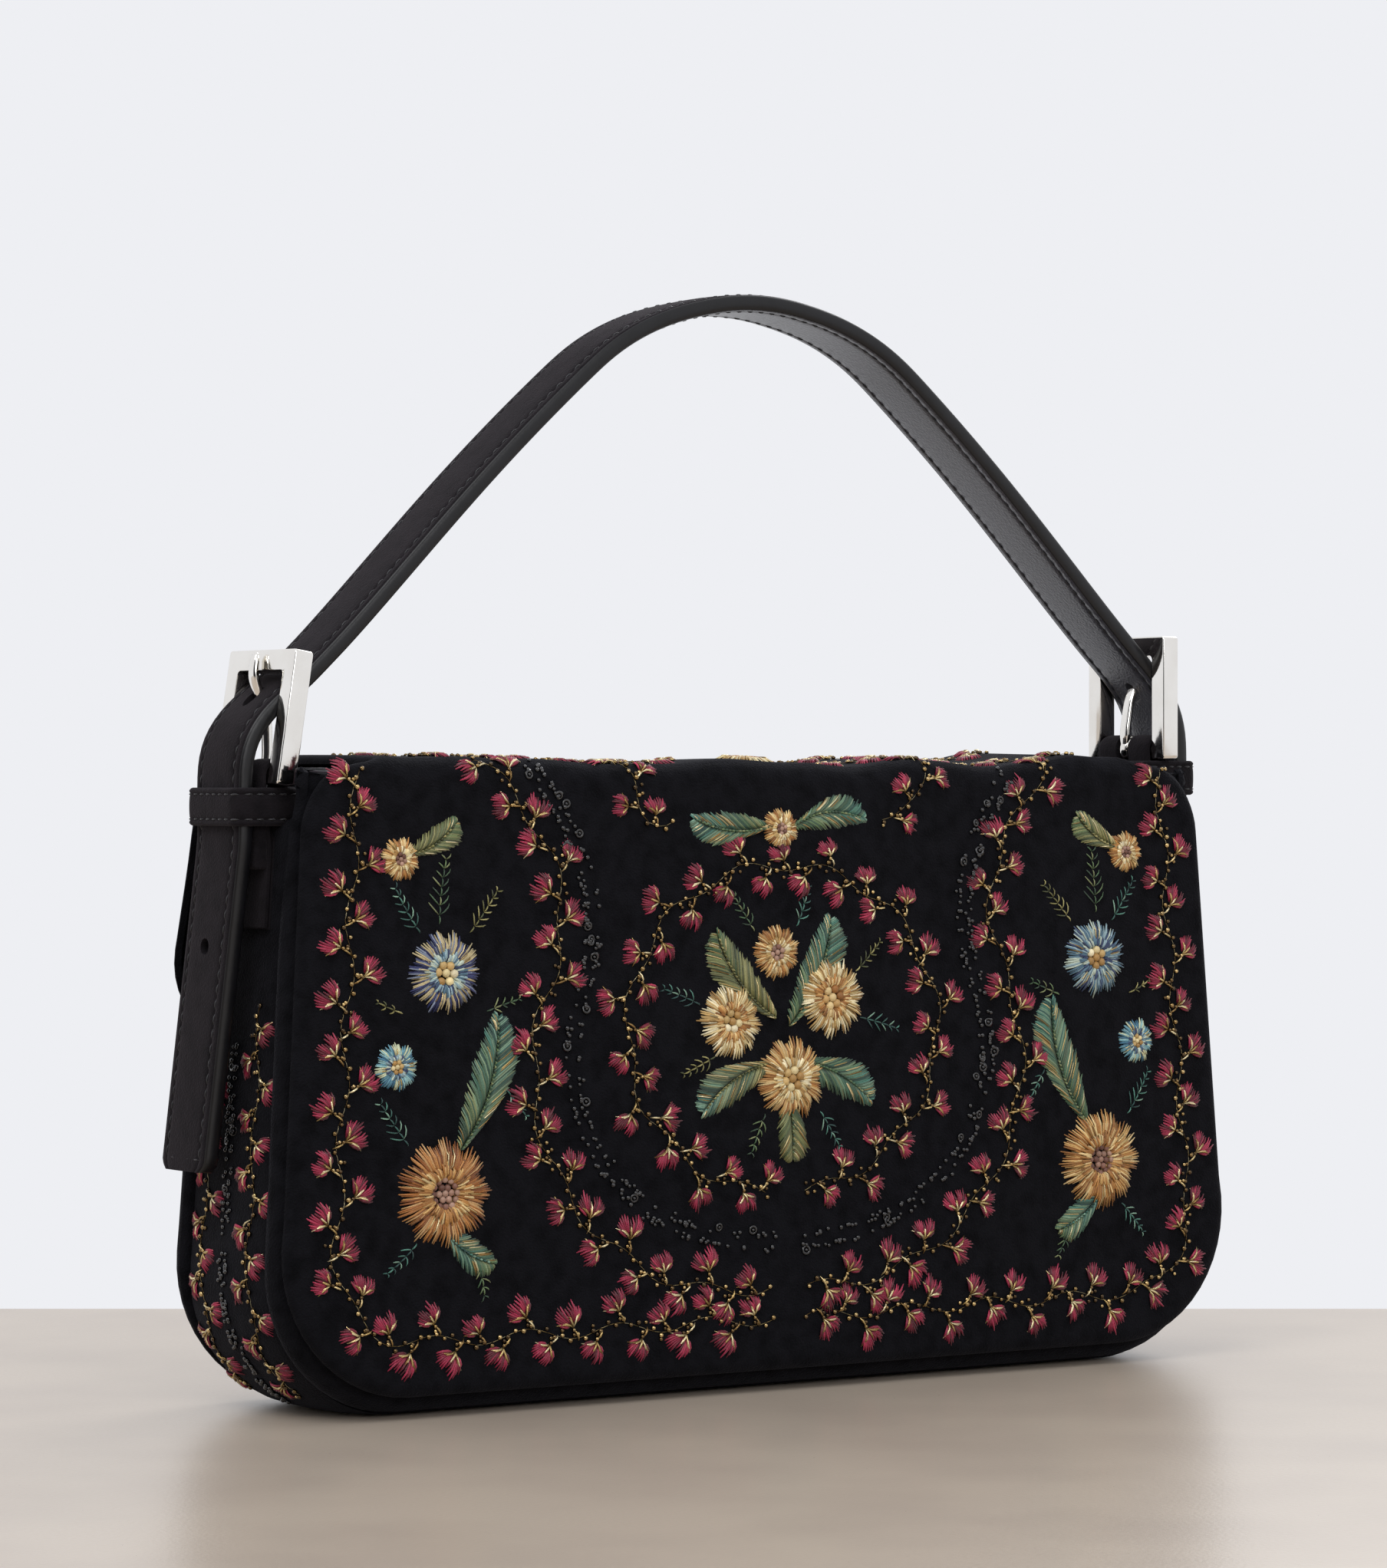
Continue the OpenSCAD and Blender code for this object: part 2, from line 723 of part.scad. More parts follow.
// Distance that a tail hangs back at a height
function hang_back(side, z) =
  let (high = bar_height(side) - tail_drop, low = tail_end(side))
    -strap_forward + tail_back * max(0, high - z) / (high - low);
// Outline of a tail seen from the side of the bag, with its lower corners cut
function tail_outline(side) =
  let (half = strap_width / 2, z = bar_height(side), bend = z - tail_drop,
       low = tail_end(side) - margin, cut = low + tail_chamfer)
    [[hang_back(side, z) - half, z], [hang_back(side, bend) - half, bend],
     [hang_back(side, cut) - half, cut], [hang_back(side, low) - half + tail_chamfer, low],
     [hang_back(side, low) + half - tail_chamfer, low], [hang_back(side, cut) + half, cut],
     [hang_back(side, bend) + half, bend], [hang_back(side, z) + half, z]];
module tail_layer(side, from, to) {
  hole_z = bar_height(side) - spare_hole_drop;
  difference() {
    intersection() {
      band_solid(tail_points(side, from, to), 2 * (strap_width + tail_back));
      rotate([90, 0, 90])
        linear_extrude(MANY, center = true)
          polygon(tail_outline(side));
    }
    at_bar(side)
      rotate([0, 90, 0])
        cylinder(r = turn_radius + strap_gap, h = MANY, center = true, $fn = 96);
    translate([0, hang_back(side, hole_z), hole_z])
      rotate([0, 90, 0])
        cylinder(r = spare_hole_radius, h = MANY, center = true, $fn = 32);
  }
}
module tail(side) {
  color(suede) tail_layer(side, 0, strap_suede);
}
module tail_lining(side) {
  color(smooth_leather) tail_layer(side, strap_suede, strap_thickness);
}
// A keeper goes round the tail, and its foot is sewn to the tab behind it
keeper_top = 2.4;
foot_length = 9;
module keeper(side) {
  inner_half = strap_width / 2 + strap_gap;
  outer_x = strap_out + strap_gap + keeper_thickness;
  color(suede) {
    at_bar(side)
      difference() {
        translate([keeper_inner, -inner_half - keeper_thickness, -keeper_top - keeper_height])
          cube([outer_x - keeper_inner, 2 * (inner_half + keeper_thickness), keeper_height]);
        translate([keeper_inner + keeper_thickness, -inner_half, -2 * keeper_height])
          cube([outer_x - keeper_inner - 2 * keeper_thickness, 2 * inner_half, 3 * keeper_height]);
      }
    difference() {
      at_bar(side)
        translate([-keeper_inner, -strap_width / 2, -keeper_top - keeper_height - foot_length])
          cube([2 * keeper_inner + keeper_thickness, strap_width, foot_length]);
      outline_prism(body_outline(gusset_inset - tab_thickness, 0, panel_height + gusset_dip));
    }
  }
}

front_panel();
front_board();
front_lining();
front_facing();
slip_pocket();
body_magnet();
back_panel();
back_board();
back_lining();
back_facing();
pocket_bag();
label_patch();
gusset();
gusset_lining();
base_board();
zip_frame();
zip_tape();
zip_teeth();
zip_slider();
zip_puller();
flap_back();
flap_top();
flap_top_lining();
flap_front();
flap_board();
flap_front_lining();
flap_magnet();
tab(LEFT);  // left_tab
tab(RIGHT);  // right_tab
keeper(LEFT);  // left_keeper
keeper(RIGHT);  // right_keeper
tail(LEFT);  // left_tail
tail(RIGHT);  // right_tail
tail_lining(LEFT);  // left_tail_lining
tail_lining(RIGHT);  // right_tail_lining
strap();
strap_lining();
chape(LEFT);  // left_chape
chape(RIGHT);  // right_chape
buckle(LEFT);  // left_buckle
buckle(RIGHT);  // right_buckle
prong(LEFT);  // left_prong
prong(RIGHT);  // right_prong
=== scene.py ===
"""Small soft shoulder bag with a full front flap and a buckled strap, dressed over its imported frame.

Lengths are in millimetres until a mesh is made, and colours are sRGB hex values.
"""

import math

import bpy
import numpy as np
from mathutils import Matrix, Vector


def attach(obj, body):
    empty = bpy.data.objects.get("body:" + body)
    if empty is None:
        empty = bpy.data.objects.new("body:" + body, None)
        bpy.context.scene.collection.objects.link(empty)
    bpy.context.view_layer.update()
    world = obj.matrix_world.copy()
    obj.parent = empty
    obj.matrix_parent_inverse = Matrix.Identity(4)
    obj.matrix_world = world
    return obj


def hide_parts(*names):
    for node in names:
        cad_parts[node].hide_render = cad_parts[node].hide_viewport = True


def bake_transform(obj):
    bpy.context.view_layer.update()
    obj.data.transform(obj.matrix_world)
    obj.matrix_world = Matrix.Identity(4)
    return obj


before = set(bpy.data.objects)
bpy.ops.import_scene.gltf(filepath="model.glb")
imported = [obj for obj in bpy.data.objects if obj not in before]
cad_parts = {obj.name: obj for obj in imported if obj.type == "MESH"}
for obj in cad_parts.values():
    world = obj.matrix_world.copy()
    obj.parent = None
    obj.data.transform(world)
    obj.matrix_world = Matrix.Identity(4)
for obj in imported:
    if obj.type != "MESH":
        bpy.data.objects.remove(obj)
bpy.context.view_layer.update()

MM = 0.001
LEFT = -1
RIGHT = 1
FRONT = -1
BACK = 1
scene = bpy.context.scene


# Camera
EYE = (-714.82, -1044.90, 145.0)
VIEW_TURN = math.radians(34.15)
VIEW_DROP = 0.00087
LENS = 120.117

bpy.ops.object.select_all(action="DESELECT")
bpy.ops.object.camera_add(
    location=Vector(EYE) * MM, rotation=(math.pi / 2 - VIEW_DROP, 0, -VIEW_TURN)
)
camera = bpy.context.object
camera.name = "camera"
camera.data.lens = LENS
camera.data.sensor_width = 36
camera.data.clip_start = 0.05
camera.data.clip_end = 30
scene.camera = camera
scene.view_settings.view_transform = "Standard"


# Measures that the solids were made from
CORNER_RADIUS = 33.0
BASE_HALF = 138.0
SIDE_SLOPE = math.atan(9.5 / 147)
CORNER_X = BASE_HALF - CORNER_RADIUS * (1 + math.sin(SIDE_SLOPE)) / math.cos(SIDE_SLOPE)
PANEL_LOW = 1.0
FLAP_LOW = 5.0
FLAP_OUT = 3.9
FLAP_LINING_OUT = 1.3
SHOULDER_RADIUS = 20.0
SHOULDER_Z = 130.9
SHOULDER_X = 109.54
BACK_DROP_LOW = 82.0
BACK_DROP_RADIUS = 22.0
GUSSET_INSET = 2.0
GUSSET_TOP = 131.0
GUSSET_DIP = 9.0
SEAM_DEPTH = 7.0
STRAP_Y = -2.0
STRAP_OUT = 9.7
STRAP_SUEDE = 1.9
STRAP_THICK = 3.8
BAR_X = 128.234
BAR_Z = {LEFT: 146.0, RIGHT: 152.6}
LEAN = {LEFT: math.radians(9), RIGHT: 0.0}
SIDE_NAME = {LEFT: "left", RIGHT: "right"}
WALL_NAME = {FRONT: "front", BACK: "back"}
TAIL_LENGTH = 90.0
TAIL_DROP = 15.0
TAIL_SPLAY = 9.0
TAIL_BACK = 7.0
CROWN = (5.0, 193.6)
CROWN_RADIUS = 68.0
ZIP_Z = 108.0

# Thickness of the layers, and how deep the lining and what is sewn on it lie in each wall
PANEL_VELVET = 1.0
FLAP_VELVET = 0.8
FLAP_LEATHER = 0.6
GUSSET_VELVET = 1.6
LINING_CLOTH = 0.8
CLOTH_DEPTH = {FRONT: 2.8, BACK: 4.6}
FACE_DEPTH = {FRONT: 3.6, BACK: 5.4}


def side_x(z):
    """Half the body's width at a height."""
    return BASE_HALF - np.tan(SIDE_SLOPE) * z


def half_depth(z):
    """Half the body's depth at a height."""
    return 27.0 - 4.0 / 147.0 * z


def smooth(t):
    """An even rise from 0 to 1 with soft ends."""
    t = np.clip(t, 0.0, 1.0)
    return t * t * (3 - 2 * t)


def cubic(a, b, c, d, t):
    """Points of a cubic curve at shares of its run."""
    return a * (1 - t) ** 3 + 3 * b * t * (1 - t) ** 2 + 3 * c * t * t * (1 - t) + d * t**3


def directions(line):
    """Unit directions along a line of points."""
    along = np.gradient(line, axis=0)
    return along / np.linalg.norm(along, axis=1, keepdims=True)


def leftward(along):
    """Plane directions turned a quarter turn to the left."""
    return np.stack([-along[:, 1], along[:, 0]], axis=1)


# Making and finishing meshes
def only(piece):
    """Selects one piece and makes it the active one."""
    bpy.ops.object.select_all(action="DESELECT")
    piece.select_set(True)
    bpy.context.view_layer.objects.active = piece


def modify(piece, kind, **settings):
    """Adds a modifier with its settings and applies it."""
    only(piece)
    modifier = piece.modifiers.new(kind.lower(), kind)
    for name, value in settings.items():
        setattr(modifier, name, value)
    bpy.ops.object.modifier_apply(modifier=modifier.name)
    return piece


def soften(piece, degrees=40):
    """Shades a piece smooth, apart from edges that are sharper than an angle."""
    only(piece)
    bpy.ops.object.shade_smooth_by_angle(angle=math.radians(degrees))
    return piece


def tidy(piece, outward=True):
    """Merges vertices that lie on each other, and turns the faces outwards."""
    only(piece)
    bpy.ops.object.mode_set(mode="EDIT")
    bpy.ops.mesh.select_all(action="SELECT")
    bpy.ops.mesh.remove_doubles(threshold=0.00001)
    if outward:
        bpy.ops.mesh.normals_make_consistent(inside=False)
    bpy.ops.object.mode_set(mode="OBJECT")
    return piece


def loft(name, points, outward=False):
    """A grid primitive whose rows and columns are set on points, which come in millimetres."""
    rows, columns = points.shape[:2]
    bpy.ops.object.select_all(action="DESELECT")
    bpy.ops.mesh.primitive_grid_add(x_subdivisions=columns - 1, y_subdivisions=rows - 1)
    piece = bpy.context.object
    piece.name = name
    piece.data.name = name
    piece.data.vertices.foreach_set("co", (points * MM).astype(np.float32).ravel())
    piece.data.update()
    return tidy(piece, outward)


def closed_loft(name, sections):
    """A loft whose sections close round, with both of its ends closed to their middles."""
    ringed = np.concatenate([sections, sections[:, :1]], axis=1)
    first = np.repeat(ringed[:1, :-1].mean(axis=1, keepdims=True), ringed.shape[1], axis=1)
    last = np.repeat(ringed[-1:, :-1].mean(axis=1, keepdims=True), ringed.shape[1], axis=1)
    return loft(name, np.concatenate([first, ringed, last]), outward=True)


def ring_loft(name, sections):
    """A loft whose sections close round and which also closes on itself, such as a loop."""
    ringed = np.concatenate([sections, sections[:, :1]], axis=1)
    return loft(name, np.concatenate([ringed, ringed[:1]]), outward=True)


def edit_edges(piece, wanted):
    """Opens a piece in edit mode with only the wanted edges selected."""
    only(piece)
    bpy.ops.object.mode_set(mode="EDIT")
    bpy.ops.mesh.select_mode(type="EDGE")
    bpy.ops.mesh.select_all(action="DESELECT")
    bpy.ops.object.mode_set(mode="OBJECT")
    mesh = piece.data
    for e in mesh.edges:
        e.select = bool(wanted(*(np.array(mesh.vertices[v].co) for v in e.vertices)))
    bpy.ops.object.mode_set(mode="EDIT")


def block(name, size, centre, corner=0.0, edge=0.3, axis=1):
    """A cube cut to size, with its corners rounded round one axis and its other edges eased."""
    bpy.ops.object.select_all(action="DESELECT")
    bpy.ops.mesh.primitive_cube_add(size=1)
    piece = bpy.context.object
    piece.name = name
    piece.data.name = name
    bpy.ops.object.mode_set(mode="EDIT")
    bpy.ops.transform.resize(value=Vector(size) * MM)
    bpy.ops.object.mode_set(mode="OBJECT")
    face = size[axis] * MM / 2

    def is_long(a, b):
        """Whether an edge runs along the chosen axis."""
        return abs(b[axis] - a[axis]) > 0.99 * np.linalg.norm(b - a)

    def is_rim(a, b):
        """Whether an edge lies in one of the two end faces."""
        return abs(abs(a[axis]) - face) < 1e-7 and abs(b[axis] - a[axis]) < 1e-7

    for wanted, width, segments in ((is_long, corner, 6), (is_rim, edge, 3)):
        if width > 0:
            edit_edges(piece, wanted)
            bpy.ops.mesh.bevel(offset=width * MM, segments=segments, affect="EDGES")
            bpy.ops.object.mode_set(mode="OBJECT")
    piece.data.transform(Matrix.Translation(Vector(centre) * MM))
    return piece


def rod(radius, length, centre=(0, 0, 0), rotation=(0, 0, 0), sides=24, stretch=1.0):
    """A round rod, along Z before it is turned, and stretched across if asked."""
    bpy.ops.object.select_all(action="DESELECT")
    bpy.ops.mesh.primitive_cylinder_add(
        vertices=sides, radius=radius * MM, depth=length * MM, location=Vector(centre) * MM,
        rotation=rotation, scale=(1, stretch, 1),
    )
    return bpy.context.object


def cut(piece, tool):
    """Takes a closed tool out of a closed piece, and deletes the tool."""
    modify(piece, "BOOLEAN", operation="DIFFERENCE", object=tool, solver="EXACT")
    bpy.data.objects.remove(tool, do_unlink=True)
    return piece


def joined(pieces):
    """Makes one piece of several, under the name of the first."""
    bpy.ops.object.select_all(action="DESELECT")
    for piece in pieces:
        piece.select_set(True)
    bpy.context.view_layer.objects.active = pieces[0]
    bpy.ops.object.join()
    return pieces[0]


def drop_in(piece, material, slot, nodes=(), body="root", bend=None):
    """Gives a piece its material and hides the solids that it stands for. It hangs the piece on its
    body, or bakes its place into its mesh when a bend is given. The slot is not used.
    """
    piece.data.materials.clear()
    piece.data.materials.append(material)
    if nodes:
        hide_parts(*nodes)
    if bend:
        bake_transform(piece)
    else:
        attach(piece, body)
    return piece


# Materials
def linear(hex_colour):
    """Linear RGBA of an sRGB hex colour."""
    channels = [int(hex_colour[i : i + 2], 16) / 255 for i in (1, 3, 5)]
    turned = [c / 12.92 if c <= 0.04045 else ((c + 0.055) / 1.055) ** 2.4 for c in channels]
    return (*turned, 1.0)


def add(tree, kind, inputs=None, **settings):
    """Adds a node, with its settings, and with values or links on its sockets."""
    node = tree.nodes.new(kind)
    for name, value in settings.items():
        setattr(node, name, value)
    for socket, value in (inputs or {}).items():
        if isinstance(value, bpy.types.NodeSocket):
            tree.links.new(value, node.inputs[socket])
        else:
            node.inputs[socket].default_value = value
    return node


def surface_of(name, **sockets):
    """A new material and its shader, with fixed values set on the shader's own sockets."""
    material = bpy.data.materials.new(name)
    material.use_nodes = True
    shader = material.node_tree.nodes["Principled BSDF"]
    for socket, value in sockets.items():
        shader.inputs[socket.replace("_", " ")].default_value = value
    return material, material.node_tree, shader


def per_mm(size):
    """Scale of a texture whose features are that many millimetres across."""
    return 1 / (size * MM)


def dressed(tree, shader, colour, height, roughness, spread, bump):
    """Gives a shader its colour, with a roughness and a relief that follow a texture."""
    rough = add(
        tree, "ShaderNodeMapRange",
        {"Value": height, "To Min": roughness - spread, "To Max": roughness + spread},
    )
    relief = add(
        tree, "ShaderNodeBump", {"Height": height, "Strength": 1.0, "Distance": bump * MM}
    )
    tree.links.new(colour, shader.inputs["Base Color"])
    tree.links.new(rough.outputs[0], shader.inputs["Roughness"])
    tree.links.new(relief.outputs[0], shader.inputs["Normal"])


def grained(name, low, high, patch, grain, bump, roughness, spread, kind="noise", **sockets):
    """A material with two close colours in soft patches and a fine grain in its surface."""
    material, tree, shader = surface_of(name, **sockets)
    place = add(tree, "ShaderNodeTexCoord").outputs["Object"]
    patches = add(
        tree, "ShaderNodeTexNoise", {"Vector": place, "Scale": per_mm(patch), "Detail": 4.0}
    )
    if kind == "noise":
        texture = add(
            tree, "ShaderNodeTexNoise", {"Vector": place, "Scale": per_mm(grain), "Detail": 3.0}
        )
        height = texture.outputs["Fac"]
    else:
        texture = add(tree, "ShaderNodeTexVoronoi", {"Vector": place, "Scale": per_mm(grain)})
        height = texture.outputs["Distance"]
    blend = add(
        tree, "ShaderNodeMapRange",
        {"Value": patches.outputs["Fac"], "From Min": 0.3, "From Max": 0.7},
    )
    fine = add(tree, "ShaderNodeMath", {0: height, 1: 0.5}, operation="MULTIPLY")
    mixed = add(
        tree, "ShaderNodeMath", {0: blend.outputs[0], 1: fine.outputs[0]}, operation="ADD"
    )
    colour = add(
        tree, "ShaderNodeMix",
        {"Factor": mixed.outputs[0], 6: linear(low), 7: linear(high)}, data_type="RGBA",
    )
    dressed(tree, shader, colour.outputs[2], height, roughness, spread, bump)
    return material


# Cotton velvet, cut pile: almost black, with a soft sheen where the pile turns
velvet = grained(
    "cotton_velvet", "#030305", "#101014", 4.5, 0.5, 0.35, 0.9, 0.08,
    Sheen_Weight=0.13, Sheen_Roughness=0.4, Sheen_Tint=linear("#8a8a96"), Specular_IOR_Level=0.08,
)
# Calf suede, brushed: charcoal black nap that lightens in lit patches
suede = grained(
    "calf_suede", "#080709", "#171417", 5, 0.5, 0.22, 0.92, 0.06,
    Sheen_Weight=0.16, Sheen_Roughness=0.5, Sheen_Tint=linear("#a29aa2"), Specular_IOR_Level=0.1,
)
# Calf leather, finely pebbled and satin finished: it catches a broad grey light
leather = grained(
    "pebbled_calf_leather", "#34343a", "#3c3c43", 20, 0.7, 0.12, 0.38, 0.07, kind="cells",
    Coat_Weight=0.35, Coat_Roughness=0.35,
)
# Edge paint, several burnished coats: smooth and a little glossy
edge_paint = grained(
    "painted_leather_edge", "#09090b", "#101013", 6, 1.2, 0.03, 0.34, 0.06,
    Specular_IOR_Level=0.38,
)
# Viscose satin lining, woven: a dark plum cloth with a fine rib
lining = grained(
    "viscose_satin_lining", "#241c22", "#31262e", 18, 0.6, 0.08, 0.5, 0.08,
    Sheen_Weight=0.2, Sheen_Roughness=0.3,
)
# Zinc alloy, polished and palladium plated: a pale warm mirror with faint polishing marks
metal = grained(
    "palladium_plated_zinc", "#e8e4dd", "#f1eee8", 8, 0.35, 0.004, 0.1, 0.03, Metallic=1.0,
)
# Steel of the magnets, turned
magnet_steel = grained(
    "magnet_steel", "#77777a", "#8e8e92", 5, 0.4, 0.01, 0.3, 0.05, Metallic=1.0,
)
# Fibreboard stiffener, pressed
stiffener = grained("pressed_fibreboard", "#5d5b57", "#77746e", 5, 0.8, 0.1, 0.85, 0.05)
# Polyester zip tape, woven: matt black
zip_cloth = grained("woven_zip_tape", "#0d0d10", "#18181c", 4, 0.6, 0.15, 0.8, 0.05)
# Limestone, honed and sealed to a low gloss, with a fine speckle
limestone = grained("honed_limestone", "#a89b8e", "#b5a899", 60, 1.1, 0.05, 0.3, 0.05, IOR=1.6)


# Stage: a stone table against an even pale wall, in soft light
bpy.ops.object.select_all(action="DESELECT")
bpy.ops.mesh.primitive_plane_add(size=1)
table = bpy.context.object
table.name = "table"
TABLE_FRONT = -2400.0
TABLE_END = 167.0
TABLE_HALF = 1600.0
turn = Matrix.Rotation(-VIEW_TURN, 4, "Z")
corners = [
    (-TABLE_HALF, TABLE_FRONT), (TABLE_HALF, TABLE_FRONT), (-TABLE_HALF, TABLE_END),
    (TABLE_HALF, TABLE_END),
]
for vertex, (across, along) in zip(table.data.vertices, corners):
    vertex.co = turn @ (Vector((across, along, 0)) * MM)
table.data.materials.append(limestone)

# Pale all round. Only mirror reflections see the dim side of the studio, in front of the bag
world = bpy.data.worlds.new("pale_wall")
world.use_nodes = True
wall_tree = world.node_tree
way = add(wall_tree, "ShaderNodeTexCoord").outputs["Generated"]
dim_side = add(
    wall_tree, "ShaderNodeVectorMath", {0: way, 1: (-0.66, -0.74, -0.1)}, operation="DOT_PRODUCT"
)
dimmed = add(
    wall_tree, "ShaderNodeMapRange",
    {"Value": dim_side.outputs["Value"], "From Min": 0.72, "From Max": 0.93},
    interpolation_type="SMOOTHSTEP",
)
mirrored = add(
    wall_tree, "ShaderNodeMath",
    {0: dimmed.outputs[0], 1: add(wall_tree, "ShaderNodeLightPath").outputs["Is Glossy Ray"]},
    operation="MULTIPLY",
)
wall_colour = add(
    wall_tree, "ShaderNodeMix",
    {"Factor": mirrored.outputs[0], 6: linear("#eeeff3"), 7: linear("#26262a")},
    data_type="RGBA",
)
wall_tree.links.new(wall_colour.outputs[2], wall_tree.nodes["Background"].inputs["Color"])
scene.world = world


def area_light(name, place, aim, size, power, colour="#ffffff"):
    """A soft square light at a place, turned to its aim."""
    bpy.ops.object.select_all(action="DESELECT")
    bpy.ops.object.light_add(type="AREA", location=Vector(place) * MM)
    light = bpy.context.object
    light.name = name
    light.data.size = size * MM
    light.data.energy = power
    light.data.color = linear(colour)[:3]
    direction = Vector(aim) - Vector(place)
    light.rotation_euler = direction.to_track_quat("-Z", "Y").to_euler()
    return light


area_light("key_light", (-900, -500, 1300), (0, 0, 80), 900, 8)
area_light("front_light", (-300, -1500, 700), (0, 0, 80), 700, 5)
area_light("rim_light", (900, 500, 900), (0, 0, 120), 700, 5)


# Outlines, as rows of x, s, outward normal and extra depth, from the bottom corner upwards
def corner_rows(centre_x, centre_s, radius, first, last, count):
    """Rows along an arc."""
    angles = np.linspace(first, last, count)
    return np.stack(
        [centre_x + radius * np.cos(angles), centre_s + radius * np.sin(angles),
         np.cos(angles), np.sin(angles), np.zeros(count)], axis=1,
    )


def side_rows(heights, inset=0.0, depths=None):
    """Rows up the leaning side, at heights and at extra depths into the wall."""
    heights = np.asarray(heights, float)
    ones = np.ones(len(heights))
    extra = np.zeros(len(heights)) if depths is None else np.asarray(depths, float)
    return np.stack(
        [side_x(heights) - inset / math.cos(SIDE_SLOPE), heights,
         ones * math.cos(SIDE_SLOPE), ones * math.sin(SIDE_SLOPE), extra], axis=1,
    )


def body_rows(inset, low, tops, depths=None, arc_count=14, gap=7.0):
    """The panel outline, inset by a distance, with its bottom at low and last rows at tops."""
    radius = CORNER_RADIUS - inset
    arc = corner_rows(
        CORNER_X, CORNER_RADIUS + low - inset, radius, -math.pi / 2, SIDE_SLOPE, arc_count
    )
    start = arc[-1, 1]
    count = int((tops[0] - start) / gap)
    middle = np.linspace(start, tops[0], count + 1)[1:-1]
    heights = np.concatenate([middle, tops])
    extra = None if depths is None else np.concatenate([np.zeros(len(middle)), depths])
    return np.concatenate([arc, side_rows(heights, inset, extra)])


def framed_grid(edge, rings, columns):
    """Grid of x, s and depth inside an outline. Rings lead in from its sides and its bottom."""
    reach = rings[-1][0]
    n = len(rings) - 1
    inner_x = edge[:, 0] - reach * edge[:, 2]
    inner_s = edge[:, 1] - reach * edge[:, 3]
    across = np.linspace(-1, 1, columns)
    rows = n + len(edge)
    width = 2 * n + columns
    grid = np.zeros((rows, width, 3))
    for r in range(rows):
        for c in range(width):
            i = min(c, width - 1 - c, n)
            j = min(r, n)
            row = max(r - n, 0)
            share = across[min(max(c - n, 0), columns - 1)]
            distance, depth = rings[min(i, j)]
            out = reach - distance
            if j < n and j <= i:
                point = (inner_x[0] * share, inner_s[0] - out)
            else:
                out = out if i < n else 0.0
                point = (
                    share * (inner_x[row] + out * edge[row, 2]),
                    inner_s[row] + out * edge[row, 3],
                )
            grid[r, c] = (*point, max(depth, edge[row, 4]))
    return grid


def roll(radius_in, radius_down, steps=7):
    """Rings that round an edge over, from its lower end to the flat."""
    angles = np.linspace(0, math.pi / 2, steps)
    return [
        (radius_in * (1 - math.cos(a)), radius_down * (1 - math.sin(a))) for a in angles
    ]


# Body: front and back panels with full rounded edges, and the gusset between them
def seam_depth(z):
    """Depth of the seam behind the face of a panel. The roll narrows towards the mouth."""
    return SEAM_DEPTH - 3.6 * smooth((z - 104) / 40) - 2.5 * smooth((z - 132) / 12)


def wall_point(wall, x, z, depth, rise=0.0):
    """Points on a wall, at a depth into it and a rise off it."""
    y = wall * (half_depth(z) - depth + rise)
    return np.stack([-wall * x, y, z], axis=-1)


def panel_rise(wall, x, z):
    """How far a filled panel swells. The part under the flap stays flat."""
    if wall == FRONT:
        return 0.0 * x
    swell = np.clip(1 - (x / 125) ** 2, 0, 1) * np.sin(np.pi * np.clip(z / 84, 0, 1))
    wave = 0.2 * np.sin(x / 27 + 0.8) * np.sin(z / 19)
    return (1.5 * swell + wave * smooth(z / 20)) * (1 - smooth((z - 66) / 14))


# Heights of the panels' last rows, and how far each of them is turned over the mouth
PANEL_TOPS = [140, 143, 145, 146, 146.6, 147, 146.7]
PANEL_TOP_DEPTHS = [0, 0, 0.05, 0.3, 0.7, 1.5, 2.6]


def panel(wall, name):
    """A velvet panel that rolls over to its seams and ends in a thin turned edge at the mouth."""
    rings = [(2.4, SEAM_DEPTH + 0.4), (1.0, SEAM_DEPTH)] + roll(6.5, SEAM_DEPTH - 0.8, 8)
    rings.append((8.5, 0.0))
    edge = body_rows(0, PANEL_LOW, PANEL_TOPS, PANEL_TOP_DEPTHS)
    grid = framed_grid(edge, rings, 44)
    x, z, depth = grid[..., 0], grid[..., 1], grid[..., 2]
    narrowed = depth * seam_depth(z) / SEAM_DEPTH
    folded = depth.clip(0, PANEL_TOP_DEPTHS[-1] - 1.4 * smooth((np.abs(x) - 119) / 5))
    depth = np.where(z < PANEL_TOPS[0], narrowed, np.maximum(narrowed, folded))
    piece = loft(name, wall_point(wall, x, z, depth, panel_rise(wall, x, z)))
    return soften(modify(piece, "SOLIDIFY", thickness=PANEL_VELVET * MM, offset=-1.0), 60)


for wall, name in WALL_NAME.items():
    drop_in(panel(wall, name + "_velvet"), velvet, "velvet", (name + "_panel",))


def gusset_top(y):
    """Height of the dipping top edge of the gusset."""
    half = half_depth(GUSSET_TOP) - 1.4
    radius = (half * half + GUSSET_DIP**2) / 2 / GUSSET_DIP
    return GUSSET_TOP + radius - np.sqrt(radius**2 - np.clip(y, -half, half) ** 2)


